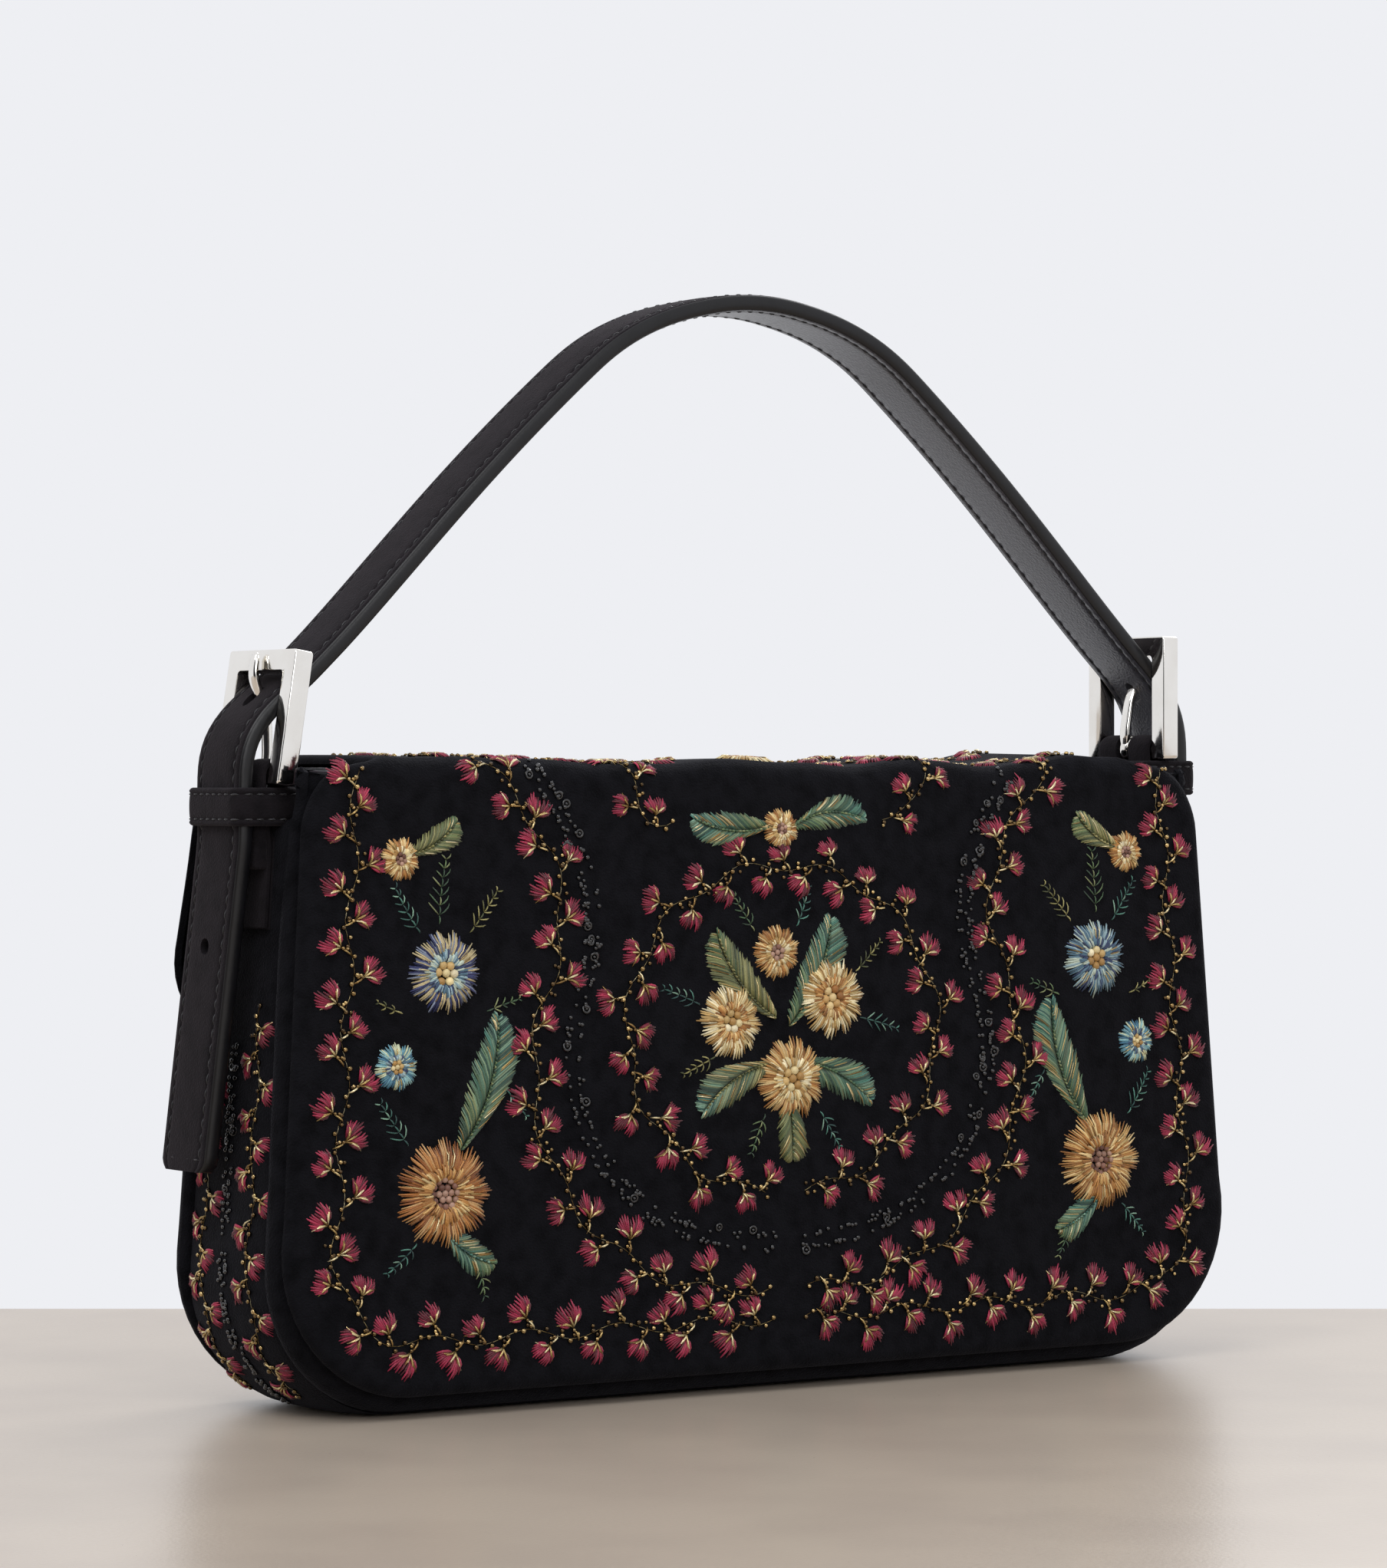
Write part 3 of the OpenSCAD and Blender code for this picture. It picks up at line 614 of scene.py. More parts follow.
def gusset_face(share, v, rise=0.0):
    """Points of the gusset's outer face. share runs along it from end to end, v from seam to seam."""
    share, v = np.broadcast_arrays(np.asarray(share, float), np.asarray(v, float))
    side = np.where(share < 0, -1.0, 1.0)
    along = np.abs(share) * GUSSET_HALF
    arc_start = CORNER_X
    arc_radius = CORNER_RADIUS - GUSSET_INSET
    arc_length = arc_radius * (math.pi / 2 + SIDE_SLOPE)
    angle = np.clip((along - arc_start) / arc_radius, 0, arc_length / arc_radius)
    x = np.minimum(along, arc_start) + arc_radius * np.sin(angle)
    z = arc_radius - arc_radius * np.cos(angle)
    up = np.clip(along - arc_start - arc_length, 0, None)
    z_line = z + up * math.cos(SIDE_SLOPE)
    x = x - up * math.sin(SIDE_SLOPE)
    y = v * (half_depth(z_line) - seam_depth(z_line) + 0.3)
    start = arc_radius - arc_radius * math.cos(arc_length / arc_radius)
    reach = (gusset_top(y) - start) / (GUSSET_TOP - start)
    z = np.where(up > 0, start + (z_line - start) * reach, z_line)
    nx, nz = np.sin(angle), -np.cos(angle)
    full = smooth(angle / 0.5)
    swell = full * (1.5 * (1 - np.abs(v) ** 3)) - 0.5 * np.abs(v) ** 6
    swell = np.where(along < arc_start, -0.6 * np.abs(v) ** 6, swell)
    shift = swell + rise
    return np.stack([side * (x + nx * shift), y, z + nz * shift], axis=-1)


GUSSET_HALF = CORNER_X + (CORNER_RADIUS - GUSSET_INSET) * (math.pi / 2 + SIDE_SLOPE) + (
    GUSSET_TOP - (CORNER_RADIUS - GUSSET_INSET) * (1 + math.sin(SIDE_SLOPE))
) / math.cos(SIDE_SLOPE)


def gusset():
    """The velvet strip round the sides and the base, swollen a little between its seams."""
    share = np.linspace(-1, 1, 161)[:, None]
    v = np.concatenate([[-1, -0.96, -0.9, -0.8], np.linspace(-0.65, 0.65, 9), [0.8, 0.9, 0.96, 1]])
    piece = loft("gusset_velvet", gusset_face(share, v[None, :]))
    low_face = min(
        piece.data.polygons, key=lambda p: abs(p.center.x) + abs(p.center.y) + p.center.z
    )
    if low_face.normal.z > 0:
        piece.data.flip_normals()
    return soften(modify(piece, "SOLIDIFY", thickness=GUSSET_VELVET * MM, offset=-1.0), 60)


drop_in(gusset(), velvet, "velvet", ("gusset",))


# Flap: one profile up the front, over the top and down the back
FOLD_RADIUS = 5.5
FOLD_Z = 150.9 - FOLD_RADIUS
FOLD_Y = half_depth(FOLD_Z) + FLAP_OUT - FOLD_RADIUS
FOLD_END = FOLD_Z + FOLD_RADIUS * math.pi / 2
TOP_MIDDLE = FOLD_END + FOLD_Y
TOP_HALF = SHOULDER_X - 0.6
HOLLOW_END = FOLD_END + 1.5
TOP_FOLD = ("root", "flap_top", (0, 28.9, 140), (0, 18, 151))
FRONT_FOLD = ("flap_top", "flap_front", (0, -24.5, 149.2), (0, -30, 139))
# Dents along the top, each with its middle, its width and its depth
PUCKERS = [(66.0, 8.5, 1.5), (24.0, 10.0, 0.9), (-31.0, 9.0, 0.6), (92.0, 6.0, -0.7)]
DROP_BOW = 5.5
TOP_HOLLOW = 0.5
FLAP_IN = FLAP_OUT - FLAP_LINING_OUT


def flap_softness(x, s):
    """How far the stuffed flap stands off its even shape."""
    m = np.minimum(s, 2 * TOP_MIDDLE - s)
    face = np.clip(1 - (x / 128) ** 2, 0, 1) * np.sin(np.pi * np.clip(m / 146, 0, 1)) ** 0.8
    wave = 0.28 * np.sin(x / 24 + 1.3) * np.sin(s / 21 + 0.4) + 0.16 * np.sin(x / 11 + s / 17)
    return 1.3 * face + wave * smooth((130 - np.abs(x)) / 20)


def flap_point(x, s, rise=0.0, soft=1.0):
    """Points of the flap's outer face, s along its profile from the front edge to the back one."""
    x, s = np.broadcast_arrays(np.asarray(x, float), np.asarray(s, float))
    wall = np.where(s <= TOP_MIDDLE, FRONT, BACK)
    m = np.minimum(s, 2 * TOP_MIDDLE - s)
    angle = np.clip((m - FOLD_Z) / FOLD_RADIUS, 0, math.pi / 2)
    over = np.clip(m - FOLD_END, 0, None)
    y = np.where(
        m < FOLD_Z, half_depth(m) + FLAP_OUT, FOLD_Y + FOLD_RADIUS * np.cos(angle) - over
    )
    z = np.where(m < FOLD_Z, m, FOLD_Z + FOLD_RADIUS * np.sin(angle))
    off = soft * flap_softness(x, s) + rise
    sag = 1.7 * np.clip(1 - (x / 108) ** 2, 0, 1) + 0.25 * np.sin(x / 9) + 0.2 * np.sin(x / 4.1 + 1)
    for middle, width, depth in PUCKERS:
        sag = sag + depth * np.exp(-(((x - middle) / width) ** 2))
    drop = soft * sag * smooth((m - 118) / 28)
    bow = soft * DROP_BOW * (0.55 + 0.45 * (x / 128) ** 2) * smooth((140 - m) / 50)
    y = y + np.cos(angle) * off + np.where(wall == BACK, bow, 0.0)
    z = z + np.sin(angle) * off - drop
    return np.stack([x, wall * y, z], axis=-1)


def shoulder_rows():
    """The flap's shoulder and the hollow curve that leads to its narrow top."""
    turn = math.radians(62)
    arc = corner_rows(SHOULDER_X, SHOULDER_Z, SHOULDER_RADIUS, SIDE_SLOPE, turn, 10)
    a = arc[-1, :2]
    slip = np.array([-math.sin(turn), math.cos(turn)])
    d = np.array([TOP_HALF, HOLLOW_END])
    b = a + slip * 5
    c = d - np.array([0, 5.0])
    t = np.linspace(0, 1, 9)[1:, None]
    curve = cubic(a, b, c, d, t)
    slope = 3 * (b - a) * (1 - t) ** 2 + 6 * (c - b) * t * (1 - t) + 3 * (d - c) * t * t
    slope /= np.linalg.norm(slope, axis=1, keepdims=True)
    hollow = np.column_stack([curve, slope[:, 1], -slope[:, 0], np.zeros(len(t))])
    heights = np.linspace(HOLLOW_END, TOP_MIDDLE, 7)[1:]
    top = np.column_stack([np.full(6, TOP_HALF), heights, np.ones(6), np.zeros(6), np.zeros(6)])
    return np.concatenate([arc[1:], hollow, top])


def front_flap_rows():
    """The outline of the flap's front and of the front half of its top."""
    lower = body_rows(0, FLAP_LOW, [SHOULDER_Z + SHOULDER_RADIUS * math.sin(SIDE_SLOPE)], gap=5.0)
    return np.concatenate([lower, shoulder_rows()])


def back_flap_rows():
    """The back drop's outline, with heights counted as on the front."""
    corner = side_x(BACK_DROP_LOW + BACK_DROP_RADIUS) - BACK_DROP_RADIUS
    arc = corner_rows(
        corner, BACK_DROP_LOW + BACK_DROP_RADIUS, BACK_DROP_RADIUS, -math.pi / 2, SIDE_SLOPE, 12
    )
    sides = side_rows(np.linspace(108, SHOULDER_Z + 1.2, 5))
    return np.concatenate([arc, sides, shoulder_rows()])


def flap_half(name, rows, wall, rings, columns, depth=0.0, thickness=FLAP_VELVET, soft=1.0):
    """One sheet of the flap, from its lower edge to the middle of the top. The lining isn't soft."""
    grid = framed_grid(rows, rings, columns)
    x, s = grid[..., 0], grid[..., 1]
    if wall == BACK:
        x, s = -x, 2 * TOP_MIDDLE - s
    hollow = (1 - soft) * TOP_HOLLOW * smooth((grid[..., 1] - 144) / 6)
    piece = loft(name, flap_point(x, s, -depth - hollow - grid[..., 2], soft))
    return soften(modify(piece, "SOLIDIFY", thickness=thickness * MM, offset=-1.0), 60)


flap_rings = [(1.6, 2.55), (0.5, 2.5)] + roll(3.4, 2.4, 7) + [(5.0, 0.0)]
drop_in(
    flap_half("flap_front_velvet", front_flap_rows(), FRONT, flap_rings, 60),
    velvet, "velvet", ("flap_front",), bend=FRONT_FOLD,
)
drop_in(
    flap_half("flap_back_velvet", back_flap_rows(), BACK, flap_rings, 60),
    velvet, "velvet", ("flap_back", "flap_top"), bend=TOP_FOLD,
)
flat_rings = [(0.9, 0.25), (1.3, 0.05), (2.0, 0.0), (5.0, 0.0)]
drop_in(
    flap_half(
        "flap_front_leather", front_flap_rows(), FRONT, flat_rings, 30, FLAP_IN, FLAP_LEATHER, 0.0
    ),
    leather, "smooth_leather", ("flap_front_lining",), bend=FRONT_FOLD,
)


def flap_top_sheet():
    """The leather under the back half of the top, ending below the back fold."""
    s = np.linspace(TOP_MIDDLE, 2 * TOP_MIDDLE - FOLD_Z, 22)[:, None]
    x = np.linspace(-1, 1, 30)[None, :] * (SHOULDER_X - 1.5)
    piece = loft("flap_top_leather", flap_point(x, s, -FLAP_IN - TOP_HOLLOW, 0.0))
    return soften(modify(piece, "SOLIDIFY", thickness=FLAP_LEATHER * MM, offset=-1.0), 60)


drop_in(flap_top_sheet(), leather, "smooth_leather", ("flap_top_lining",), bend=TOP_FOLD)


# Strap: one curve from the end of the left tail, over the crown, to the end of the right tail
def leaned(point, side):
    """A point of a buckle's own plane, turned by that buckle's lean."""
    c, s = math.cos(LEAN[side]), math.sin(LEAN[side])
    return np.array([point[0] * c - point[1] * s, point[0] * s + point[1] * c])


def window_curve(side, count=24):
    """The strap's outer face through the frame, from under the top bar to the bottom bar."""
    a, b = leaned((-2.8, 23.4), side), leaned((3.5, 17.4), side)
    c, d = np.array([STRAP_OUT, 12.0]), np.array([STRAP_OUT, 0.0])
    t = np.linspace(0, 1, count)[:, None]
    curve = cubic(a, b, c, d, t)
    return np.stack([side * (BAR_X + curve[:, 0]), BAR_Z[side] + curve[:, 1]], axis=1)


def crown_arc():
    """The round top between its two tangent points, from left to right."""
    ends = []
    for side in (LEFT, RIGHT):
        reach = window_curve(side)[0] - np.array(CROWN)
        flank = math.acos(CROWN_RADIUS / np.linalg.norm(reach))
        turned = math.atan2(reach[1], reach[0])
        turned += 2 * math.pi if turned < -math.pi / 2 else 0.0
        ends.append(turned + side * flank)
    angles = np.linspace(ends[0], ends[1], 40)
    return np.stack(
        [CROWN[0] + CROWN_RADIUS * np.cos(angles), CROWN[1] + CROWN_RADIUS * np.sin(angles)],
        axis=1,
    )


def tail_line(side):
    """The outer face of a tail, from its low end up to the bottom bar."""
    z, low = BAR_Z[side], BAR_Z[side] - TAIL_LENGTH
    end = (side * (side_x(low) + TAIL_SPLAY), low)
    bend = (side * (BAR_X + STRAP_OUT), z - TAIL_DROP)
    top = (side * (BAR_X + STRAP_OUT), z)
    return np.array([end, bend, top])


def resampled(line, step):
    """Even steps along a line of points, both ends kept."""
    lengths = np.concatenate([[0], np.cumsum(np.linalg.norm(np.diff(line, axis=0), axis=1))])
    places = np.linspace(0, lengths[-1], int(lengths[-1] / step) + 1)
    return np.stack([np.interp(places, lengths, line[:, k]) for k in range(line.shape[1])], 1)


def eased(line, passes):
    """Rounds the corners of an even line by averaging neighbours, both ends kept."""
    line = line.copy()
    for _ in range(passes):
        line[1:-1] = line[:-2] / 4 + line[1:-1] / 2 + line[2:] / 4
    return line


FLANK_START = 14.0
FLANK_END = 118.0
FLANK_BOW = 2.4


def bowed(flat):
    """Swells the two flanks outwards between the frames and the crown."""
    outward = leftward(directions(flat))
    reach = np.abs(flat[:, 0] - CROWN[0])
    share = np.clip((reach - FLANK_START) / (FLANK_END - FLANK_START), 0, 1)
    return flat + outward * (FLANK_BOW * np.sin(math.pi * share) ** 1.5)[:, None]


def strap_line():
    """The strap's outer face along its middle, with the tails swung to the back."""
    left, right = tail_line(LEFT), tail_line(RIGHT)
    flat = np.concatenate(
        [left, window_curve(LEFT)[::-1][1:], crown_arc(), window_curve(RIGHT)[:-1], right[::-1]]
    )
    flat = bowed(eased(resampled(flat, 1.0), 12))
    y = np.full(len(flat), STRAP_Y)
    for side in (LEFT, RIGHT):
        high, low = BAR_Z[side] - TAIL_DROP, BAR_Z[side] - TAIL_LENGTH
        drop = np.clip((high - flat[:, 1]) / (high - low), 0, 1)
        y += np.where(flat[:, 0] * side > 0, TAIL_BACK * drop, 0)
    return np.column_stack([flat[:, 0], y, flat[:, 1]])


STRAP = strap_line()
STRAP_STEPS = np.concatenate([[0], np.cumsum(np.linalg.norm(np.diff(STRAP, axis=0), axis=1))])
STRAP_LENGTH = STRAP_STEPS[-1]
strap_along = np.gradient(STRAP, axis=0)
strap_along[:, 1] = 0
strap_along /= np.linalg.norm(strap_along, axis=1, keepdims=True)
STRAP_IN = np.stack([strap_along[:, 2], strap_along[:, 1], -strap_along[:, 0]], axis=1)


def strap_point(length, across, depth):
    """Points of the strap at a length along it, a distance across it and a depth from its outside."""
    length, across, depth = np.broadcast_arrays(length, across, depth)
    middle = np.stack([np.interp(length, STRAP_STEPS, STRAP[:, k]) for k in range(3)], -1)
    inward = np.stack([np.interp(length, STRAP_STEPS, STRAP_IN[:, k]) for k in range(3)], -1)
    return middle + inward * depth[..., None] + across[..., None] * np.array([0.0, 1.0, 0.0])


def strap_width(length):
    """Half the strap's width, which narrows where the ends' corners are cut."""
    end = np.minimum(length, STRAP_LENGTH - length)
    return np.interp(end, [0, 0.35, 1.2, 2.4], [0.79, 0.84, 0.93, 1.0])


def strap_lengths():
    """Where the strap's rows lie, closer together at its cut ends."""
    ends = np.array([0, 0.35, 0.8, 1.2, 1.8, 2.4])
    middle = np.linspace(4.5, STRAP_LENGTH - 4.5, int(STRAP_LENGTH / 2.4))
    return np.concatenate([ends, middle, STRAP_LENGTH - ends[::-1]])


def strap_piece(name, section):
    """A layer along the whole strap, with its section given as pairs of across and depth."""
    lengths = strap_lengths()[:, None]
    across = section[None, :, 0] * strap_width(lengths)
    return soften(closed_loft(name, strap_point(lengths, across, section[None, :, 1])), 50)


def strap_section(top_depth, low_depth, dome, half, groove):
    """A flat section with one domed face, which dips along its two rows of stitches."""
    u = np.array([-1, -0.985, -0.94, -0.86, -0.79, -0.755, -0.72, -0.6, -0.35, 0, 0.35, 0.6, 0.72,
                  0.755, 0.79, 0.86, 0.94, 0.985, 1])
    rise = dome * (1 - u**2) - groove * np.exp(-(((np.abs(u) - 0.755) / 0.03) ** 2))
    edge = 0.5 * np.clip((np.abs(u) - 0.93) / 0.07, 0, 1) ** 2
    sign = 1 if low_depth > top_depth else -1
    face = np.stack([u * half, top_depth + sign * (edge - rise)], axis=1)
    back = np.stack([np.linspace(half, -half, 5), np.full(5, low_depth)], axis=1)
    return np.concatenate([face, back])


STRAP_BEND = ("root", "handle", (0, STRAP_Y, 134), (0, STRAP_Y, 146))
STITCH_LINE = 7.5
# Lengths from each end to the spare hole and to the slot that the prong comes out of
SPARE_HOLE = TAIL_LENGTH - 38.6
PRONG_HOLE = {LEFT: 111.2, RIGHT: 109.2}
HOLE_RADIUS = 1.9
SLOT_STRETCH = 1.75
LAYER_HALF = 9.9
outer_section = strap_section(0.0, STRAP_SUEDE, 0.35, LAYER_HALF, 0.26)
inner_section = strap_section(STRAP_THICK, STRAP_SUEDE, 0.3, LAYER_HALF, 0.34)


def punched(piece):
    """Cuts a spare hole through each tail, and the hole that each prong comes out of."""
    for length, stretch in (
        (SPARE_HOLE, 1.0), (STRAP_LENGTH - SPARE_HOLE, 1.0),
        (PRONG_HOLE[LEFT], SLOT_STRETCH), (STRAP_LENGTH - PRONG_HOLE[RIGHT], SLOT_STRETCH),
    ):
        centre, inside = strap_point(length, 0.0, np.array([STRAP_SUEDE, STRAP_SUEDE + 1]))
        inward = Vector(inside - centre).to_track_quat("Z", "Y").to_euler()
        cut(piece, rod(HOLE_RADIUS, 9, centre, inward, stretch=stretch))
    return soften(piece, 50)


drop_in(
    punched(strap_piece("strap_suede", outer_section)), suede, "suede",
    ("strap", "left_tail", "right_tail"), bend=STRAP_BEND,
)
drop_in(
    punched(strap_piece("strap_leather", inner_section)), leather, "smooth_leather",
    ("strap_lining", "left_tail_lining", "right_tail_lining"), bend=STRAP_BEND,
)
for side, name in ((-1, "strap_edge_front"), (1, "strap_edge_back")):
    bead = np.linspace(-math.pi / 2, math.pi / 2, 9)
    rounded = np.stack(
        [side * (9.75 + 0.6 * np.cos(bead)), STRAP_SUEDE + 1.75 * np.sin(bead)], axis=1
    )
    drop_in(strap_piece(name, rounded), edge_paint, "smooth_leather", bend=STRAP_BEND)


# Buckles
def at_bar(points, side, leaning=True):
    """Turns points of a buckle's own frame, x away from the bag, to their place on a side."""
    points = np.asarray(points, float)
    x, y, z = points[..., 0], points[..., 1], points[..., 2]
    if leaning:
        c, s = math.cos(LEAN[side]), math.sin(LEAN[side])
        x, z = x * c - z * s, x * s + z * c
    return np.stack([side * (BAR_X + x), y + STRAP_Y, BAR_Z[side] + z], axis=-1)


def move_to_bar(piece, side, leaning=True):
    """Moves a piece made in a buckle's own frame to its place, the right way out."""
    count = len(piece.data.vertices)
    co = np.zeros(count * 3)
    piece.data.vertices.foreach_get("co", co)
    placed = at_bar(co.reshape(-1, 3) / MM, side, leaning) * MM
    piece.data.vertices.foreach_set("co", placed.astype(np.float32).ravel())
    if side == LEFT:
        piece.data.flip_normals()
    piece.data.update()
    return piece


BAR_WIDTH = 4.8
BAR_THICK = 4.8
BAR_RADIUS = 2.2
EYE_RADIUS = 3.0
FRAME_HALF = 15.2
WINDOW_HALF = FRAME_HALF - BAR_WIDTH
FRAME_TOP = 28.6


def buckle(side):
    """A cast rectangular frame with eased edges, polished flat, and its round bottom bar."""
    height = FRAME_TOP + BAR_WIDTH / 2
    middle = (FRAME_TOP - BAR_WIDTH / 2) / 2
    piece = block(
        SIDE_NAME[side] + "_frame", (BAR_THICK, 2 * FRAME_HALF, height), (0, 0, middle),
        corner=0.9, edge=0.35, axis=0,
    )
    window_low, window_high = -BAR_WIDTH, FRAME_TOP - BAR_WIDTH
    window = block(
        "window", (3 * BAR_THICK, 2 * WINDOW_HALF, window_high - window_low),
        (0, 0, (window_high + window_low) / 2), corner=1.2, edge=0, axis=0,
    )
    cut(piece, window)
    easing = {
        "width": 0.3 * MM, "segments": 2, "limit_method": "ANGLE",
        "angle_limit": math.radians(50),
    }
    modify(piece, "BEVEL", **easing)
    bar = rod(BAR_RADIUS, 2 * (WINDOW_HALF + 0.6), rotation=(math.pi / 2, 0, 0), sides=40)
    bpy.ops.object.transform_apply(location=True, rotation=True, scale=True)
    modify(bar, "BEVEL", **easing)
    return soften(move_to_bar(joined([piece, bar]), side), 35)


for side in (LEFT, RIGHT):
    drop_in(
        buckle(side), metal, "polished_metal", (SIDE_NAME[side] + "_buckle",), body="handle"
    )


def wire_sections(line, widths, heights, around=12):
    """Rounded sections along a line in the plane of x and z. Each is a width along y by a height."""
    normal = -leftward(directions(line))
    angles = np.linspace(0, 2 * math.pi, around, endpoint=False)
    c = np.sign(np.cos(angles)) * np.abs(np.cos(angles)) ** 0.7
    s = np.sign(np.sin(angles)) * np.abs(np.sin(angles)) ** 0.7
    x = line[:, None, 0] + normal[:, None, 0] * heights[:, None] * s
    z = line[:, None, 1] + normal[:, None, 1] * heights[:, None] * s
    y = widths[:, None] * c + 0 * x
    return np.stack([x, y, z], axis=-1)


def prong(side):
    """A curved flat hook that rises inside the strap and lies with its tip on the top bar."""
    corners = np.array(
        [(-2.6, 1.2), (-2.55, 5.0), (-1.2, 12.6), (1.6, 18.2), (3.7, 21.6), (4.15, 24.4), (3.9, 27.7)]
    )
    line = eased(resampled(corners, 0.5), 10)
    count = len(line)
    share = np.linspace(0, 1, count)
    taper = np.interp(share, [0, 0.08, 0.8, 0.94, 0.985, 1], [0.8, 1, 1, 0.86, 0.6, 0.25])
    piece = closed_loft(
        SIDE_NAME[side] + "_hook", wire_sections(line, 1.5 * taper, 1.0 * taper)
    )
    angles = np.linspace(0, 2 * math.pi, 33)[:-1]
    ring = np.stack([EYE_RADIUS * np.cos(angles), EYE_RADIUS * np.sin(angles)], axis=1)
    turned = np.linspace(0, 2 * math.pi, 12, endpoint=False)
    section = np.stack([0.72 * np.cos(turned), 1.38 * np.sin(turned)], axis=1)
    points = np.zeros((len(ring), len(section), 3))
    points[..., 0] = ring[:, None, 0] * (1 + section[None, :, 0] / EYE_RADIUS)
    points[..., 2] = ring[:, None, 1] * (1 + section[None, :, 0] / EYE_RADIUS)
    points[..., 1] = section[None, :, 1]
    return soften(move_to_bar(joined([piece, ring_loft("eye", points)]), side), 50)


for side in (LEFT, RIGHT):
    name = SIDE_NAME[side] + "_prong"
    drop_in(prong(side), metal, "polished_metal", (name,), body=name)


# Keepers: a band of suede round each tail and its loop, with its foot on the tab
KEEPER_Z = -7.2
KEEPER_HALF = 4.35
KEEPER_WALL = 0.62
FOOT_SIZE = (3.4, 19.6, 11.5)
FOOT_PLACE = (3.75, 0, -15.6)


def keeper_path():
    """The band's middle line from the middle of its outer face, and its outward normals."""
    outer, inner, near, far, radius = 10.8, -4.3, 11.1, 12.1, 2.4
    points, normals = [(outer, 0.0)], [(1.0, 0.0)]
    for cx, cy, start in (
        (outer - radius, near - radius, 0), (inner + radius, far - radius, 90),
        (inner + radius, radius - far, 180), (outer - radius, radius - near, 270),
    ):
        for angle in np.radians(np.linspace(start, start + 90, 9)):
            normals.append((math.cos(angle), math.sin(angle)))
            points.append((cx + radius * math.cos(angle), cy + radius * math.sin(angle)))
    return np.array(points), np.array(normals)


def keeper_section():
    """Offset outwards and height round the band's wall: puffed, with two sewn grooves."""
    u = np.array([-1, -0.985, -0.94, -0.85, -0.76, -0.7, -0.65, -0.6, -0.54, -0.4, -0.2])
    u = np.concatenate([u, [0.0], -u[::-1]])
    puff = 0.32 * (1 - u**2) - 0.26 * np.exp(-(((np.abs(u) - 0.65) / 0.06) ** 2))
    puff += 0.22 * np.exp(-(((np.abs(u) - 0.84) / 0.1) ** 2))
    eased_rim = 0.5 * np.clip((np.abs(u) - 0.9) / 0.1, 0, 1) ** 2
    face = np.stack([KEEPER_WALL + puff - eased_rim, KEEPER_HALF * u], axis=1)
    v = np.array([1, 0.94, 0, -0.94, -1])
    inside = np.stack([-KEEPER_WALL + 0.4 * (np.abs(v) > 0.99), KEEPER_HALF * v], axis=1)
    return np.concatenate([face, inside])


def keeper(side):
    """A puffed band with grooves for two rows of stitches and thick rims, and the foot under it."""
    points, normals = keeper_path()
    section = keeper_section()
    grid = np.zeros((len(points), len(section), 3))
    grid[..., :2] = points[:, None] + normals[:, None] * section[None, :, 0:1]
    grid[..., 2] = KEEPER_Z + section[:, 1]
    piece = ring_loft(SIDE_NAME[side] + "_keeper_band", grid)
    foot = block("foot", FOOT_SIZE, FOOT_PLACE, corner=0.8, edge=0.8, axis=0)
    return soften(move_to_bar(joined([piece, foot]), side, leaning=False), 50)


for side in (LEFT, RIGHT):
    drop_in(keeper(side), suede, "suede", (SIDE_NAME[side] + "_keeper",), bend=STRAP_BEND)


# How far the loop's two layers lie off the gusset
LOOP_BACK = 0.85
LOOP_FRONT = 2.1


def loop_line(side):
    """The suede loop, from its sewn end on the gusset up, round the bar and down over itself."""
    def on_gusset(z):
        """How far out the gusset's face is at a height."""
        return side_x(BAR_Z[side] + z) - GUSSET_INSET - BAR_X

    angles = np.radians(np.linspace(175, 5, 15))
    around = np.stack([3.1 * np.cos(angles), 3.1 * np.sin(angles)], axis=1)
    back = [(on_gusset(z) + LOOP_BACK, z) for z in (-35.0, -28, -21, -15)]
    front = [(on_gusset(z) + LOOP_FRONT, z) for z in (-16.5, -21, -28, -34.6)]
    line = np.array(back + [(-1.7, -8.0)] + around.tolist() + [(2.5, -8.5)] + front)
    return eased(resampled(line, 0.6), 6)


def loop(side):
    """A folded strip of suede, cut open at its bend for the prong."""
    line = loop_line(side)
    out = leftward(directions(line))
    u = np.array([-1, -0.97, -0.85, -0.4, 0, 0.4, 0.85, 0.97, 1])
    edge = 0.4 * np.clip((np.abs(u) - 0.85) / 0.15, 0, 1) ** 2
    across = np.concatenate([u, u[::-1]]) * LAYER_HALF
    off = np.concatenate([0.8 - edge, edge - 0.74])
    points = np.zeros((len(line), len(across), 3))
    points[..., 0] = line[:, None, 0] + out[:, None, 0] * off
    points[..., 1] = across
    points[..., 2] = line[:, None, 1] + out[:, None, 1] * off
    piece = closed_loft(SIDE_NAME[side] + "_loop", points)
    slot = block("slot", (16, 5.0, 12), (0, 0, 1.9), corner=1.0, edge=0, axis=0)
    cut(piece, slot)
    return soften(move_to_bar(piece, side, leaning=False), 50)


for side in (LEFT, RIGHT):
    drop_in(
        loop(side), suede, "suede", (SIDE_NAME[side] + "_tab", SIDE_NAME[side] + "_chape"),
        bend=STRAP_BEND,
    )


# Inside: linings, facings and pockets
LINING_INSET = 4.6
LINING_LOW = 4.1
STRIP_DEPTH = {FRONT: 3.8, BACK: 5.6}
POCKET_BAG_DEPTH = 2.8


def lining_sheet(wall):
    """The lining of a wall, from its top edge down."""
    edge = body_rows(LINING_INSET, LINING_LOW, [140, 147])
    grid = framed_grid(edge, [(0, 0), (1, 0), (4, 0)], 24)
    x, z = grid[..., 0], grid[..., 1]
    node = WALL_NAME[wall] + "_lining"
    piece = loft(node + "_cloth", wall_point(wall, x, z, CLOTH_DEPTH[wall]))
    modify(piece, "SOLIDIFY", thickness=LINING_CLOTH * MM, offset=-1.0)
    return drop_in(soften(piece, 60), lining, "lining_cloth", (node,))


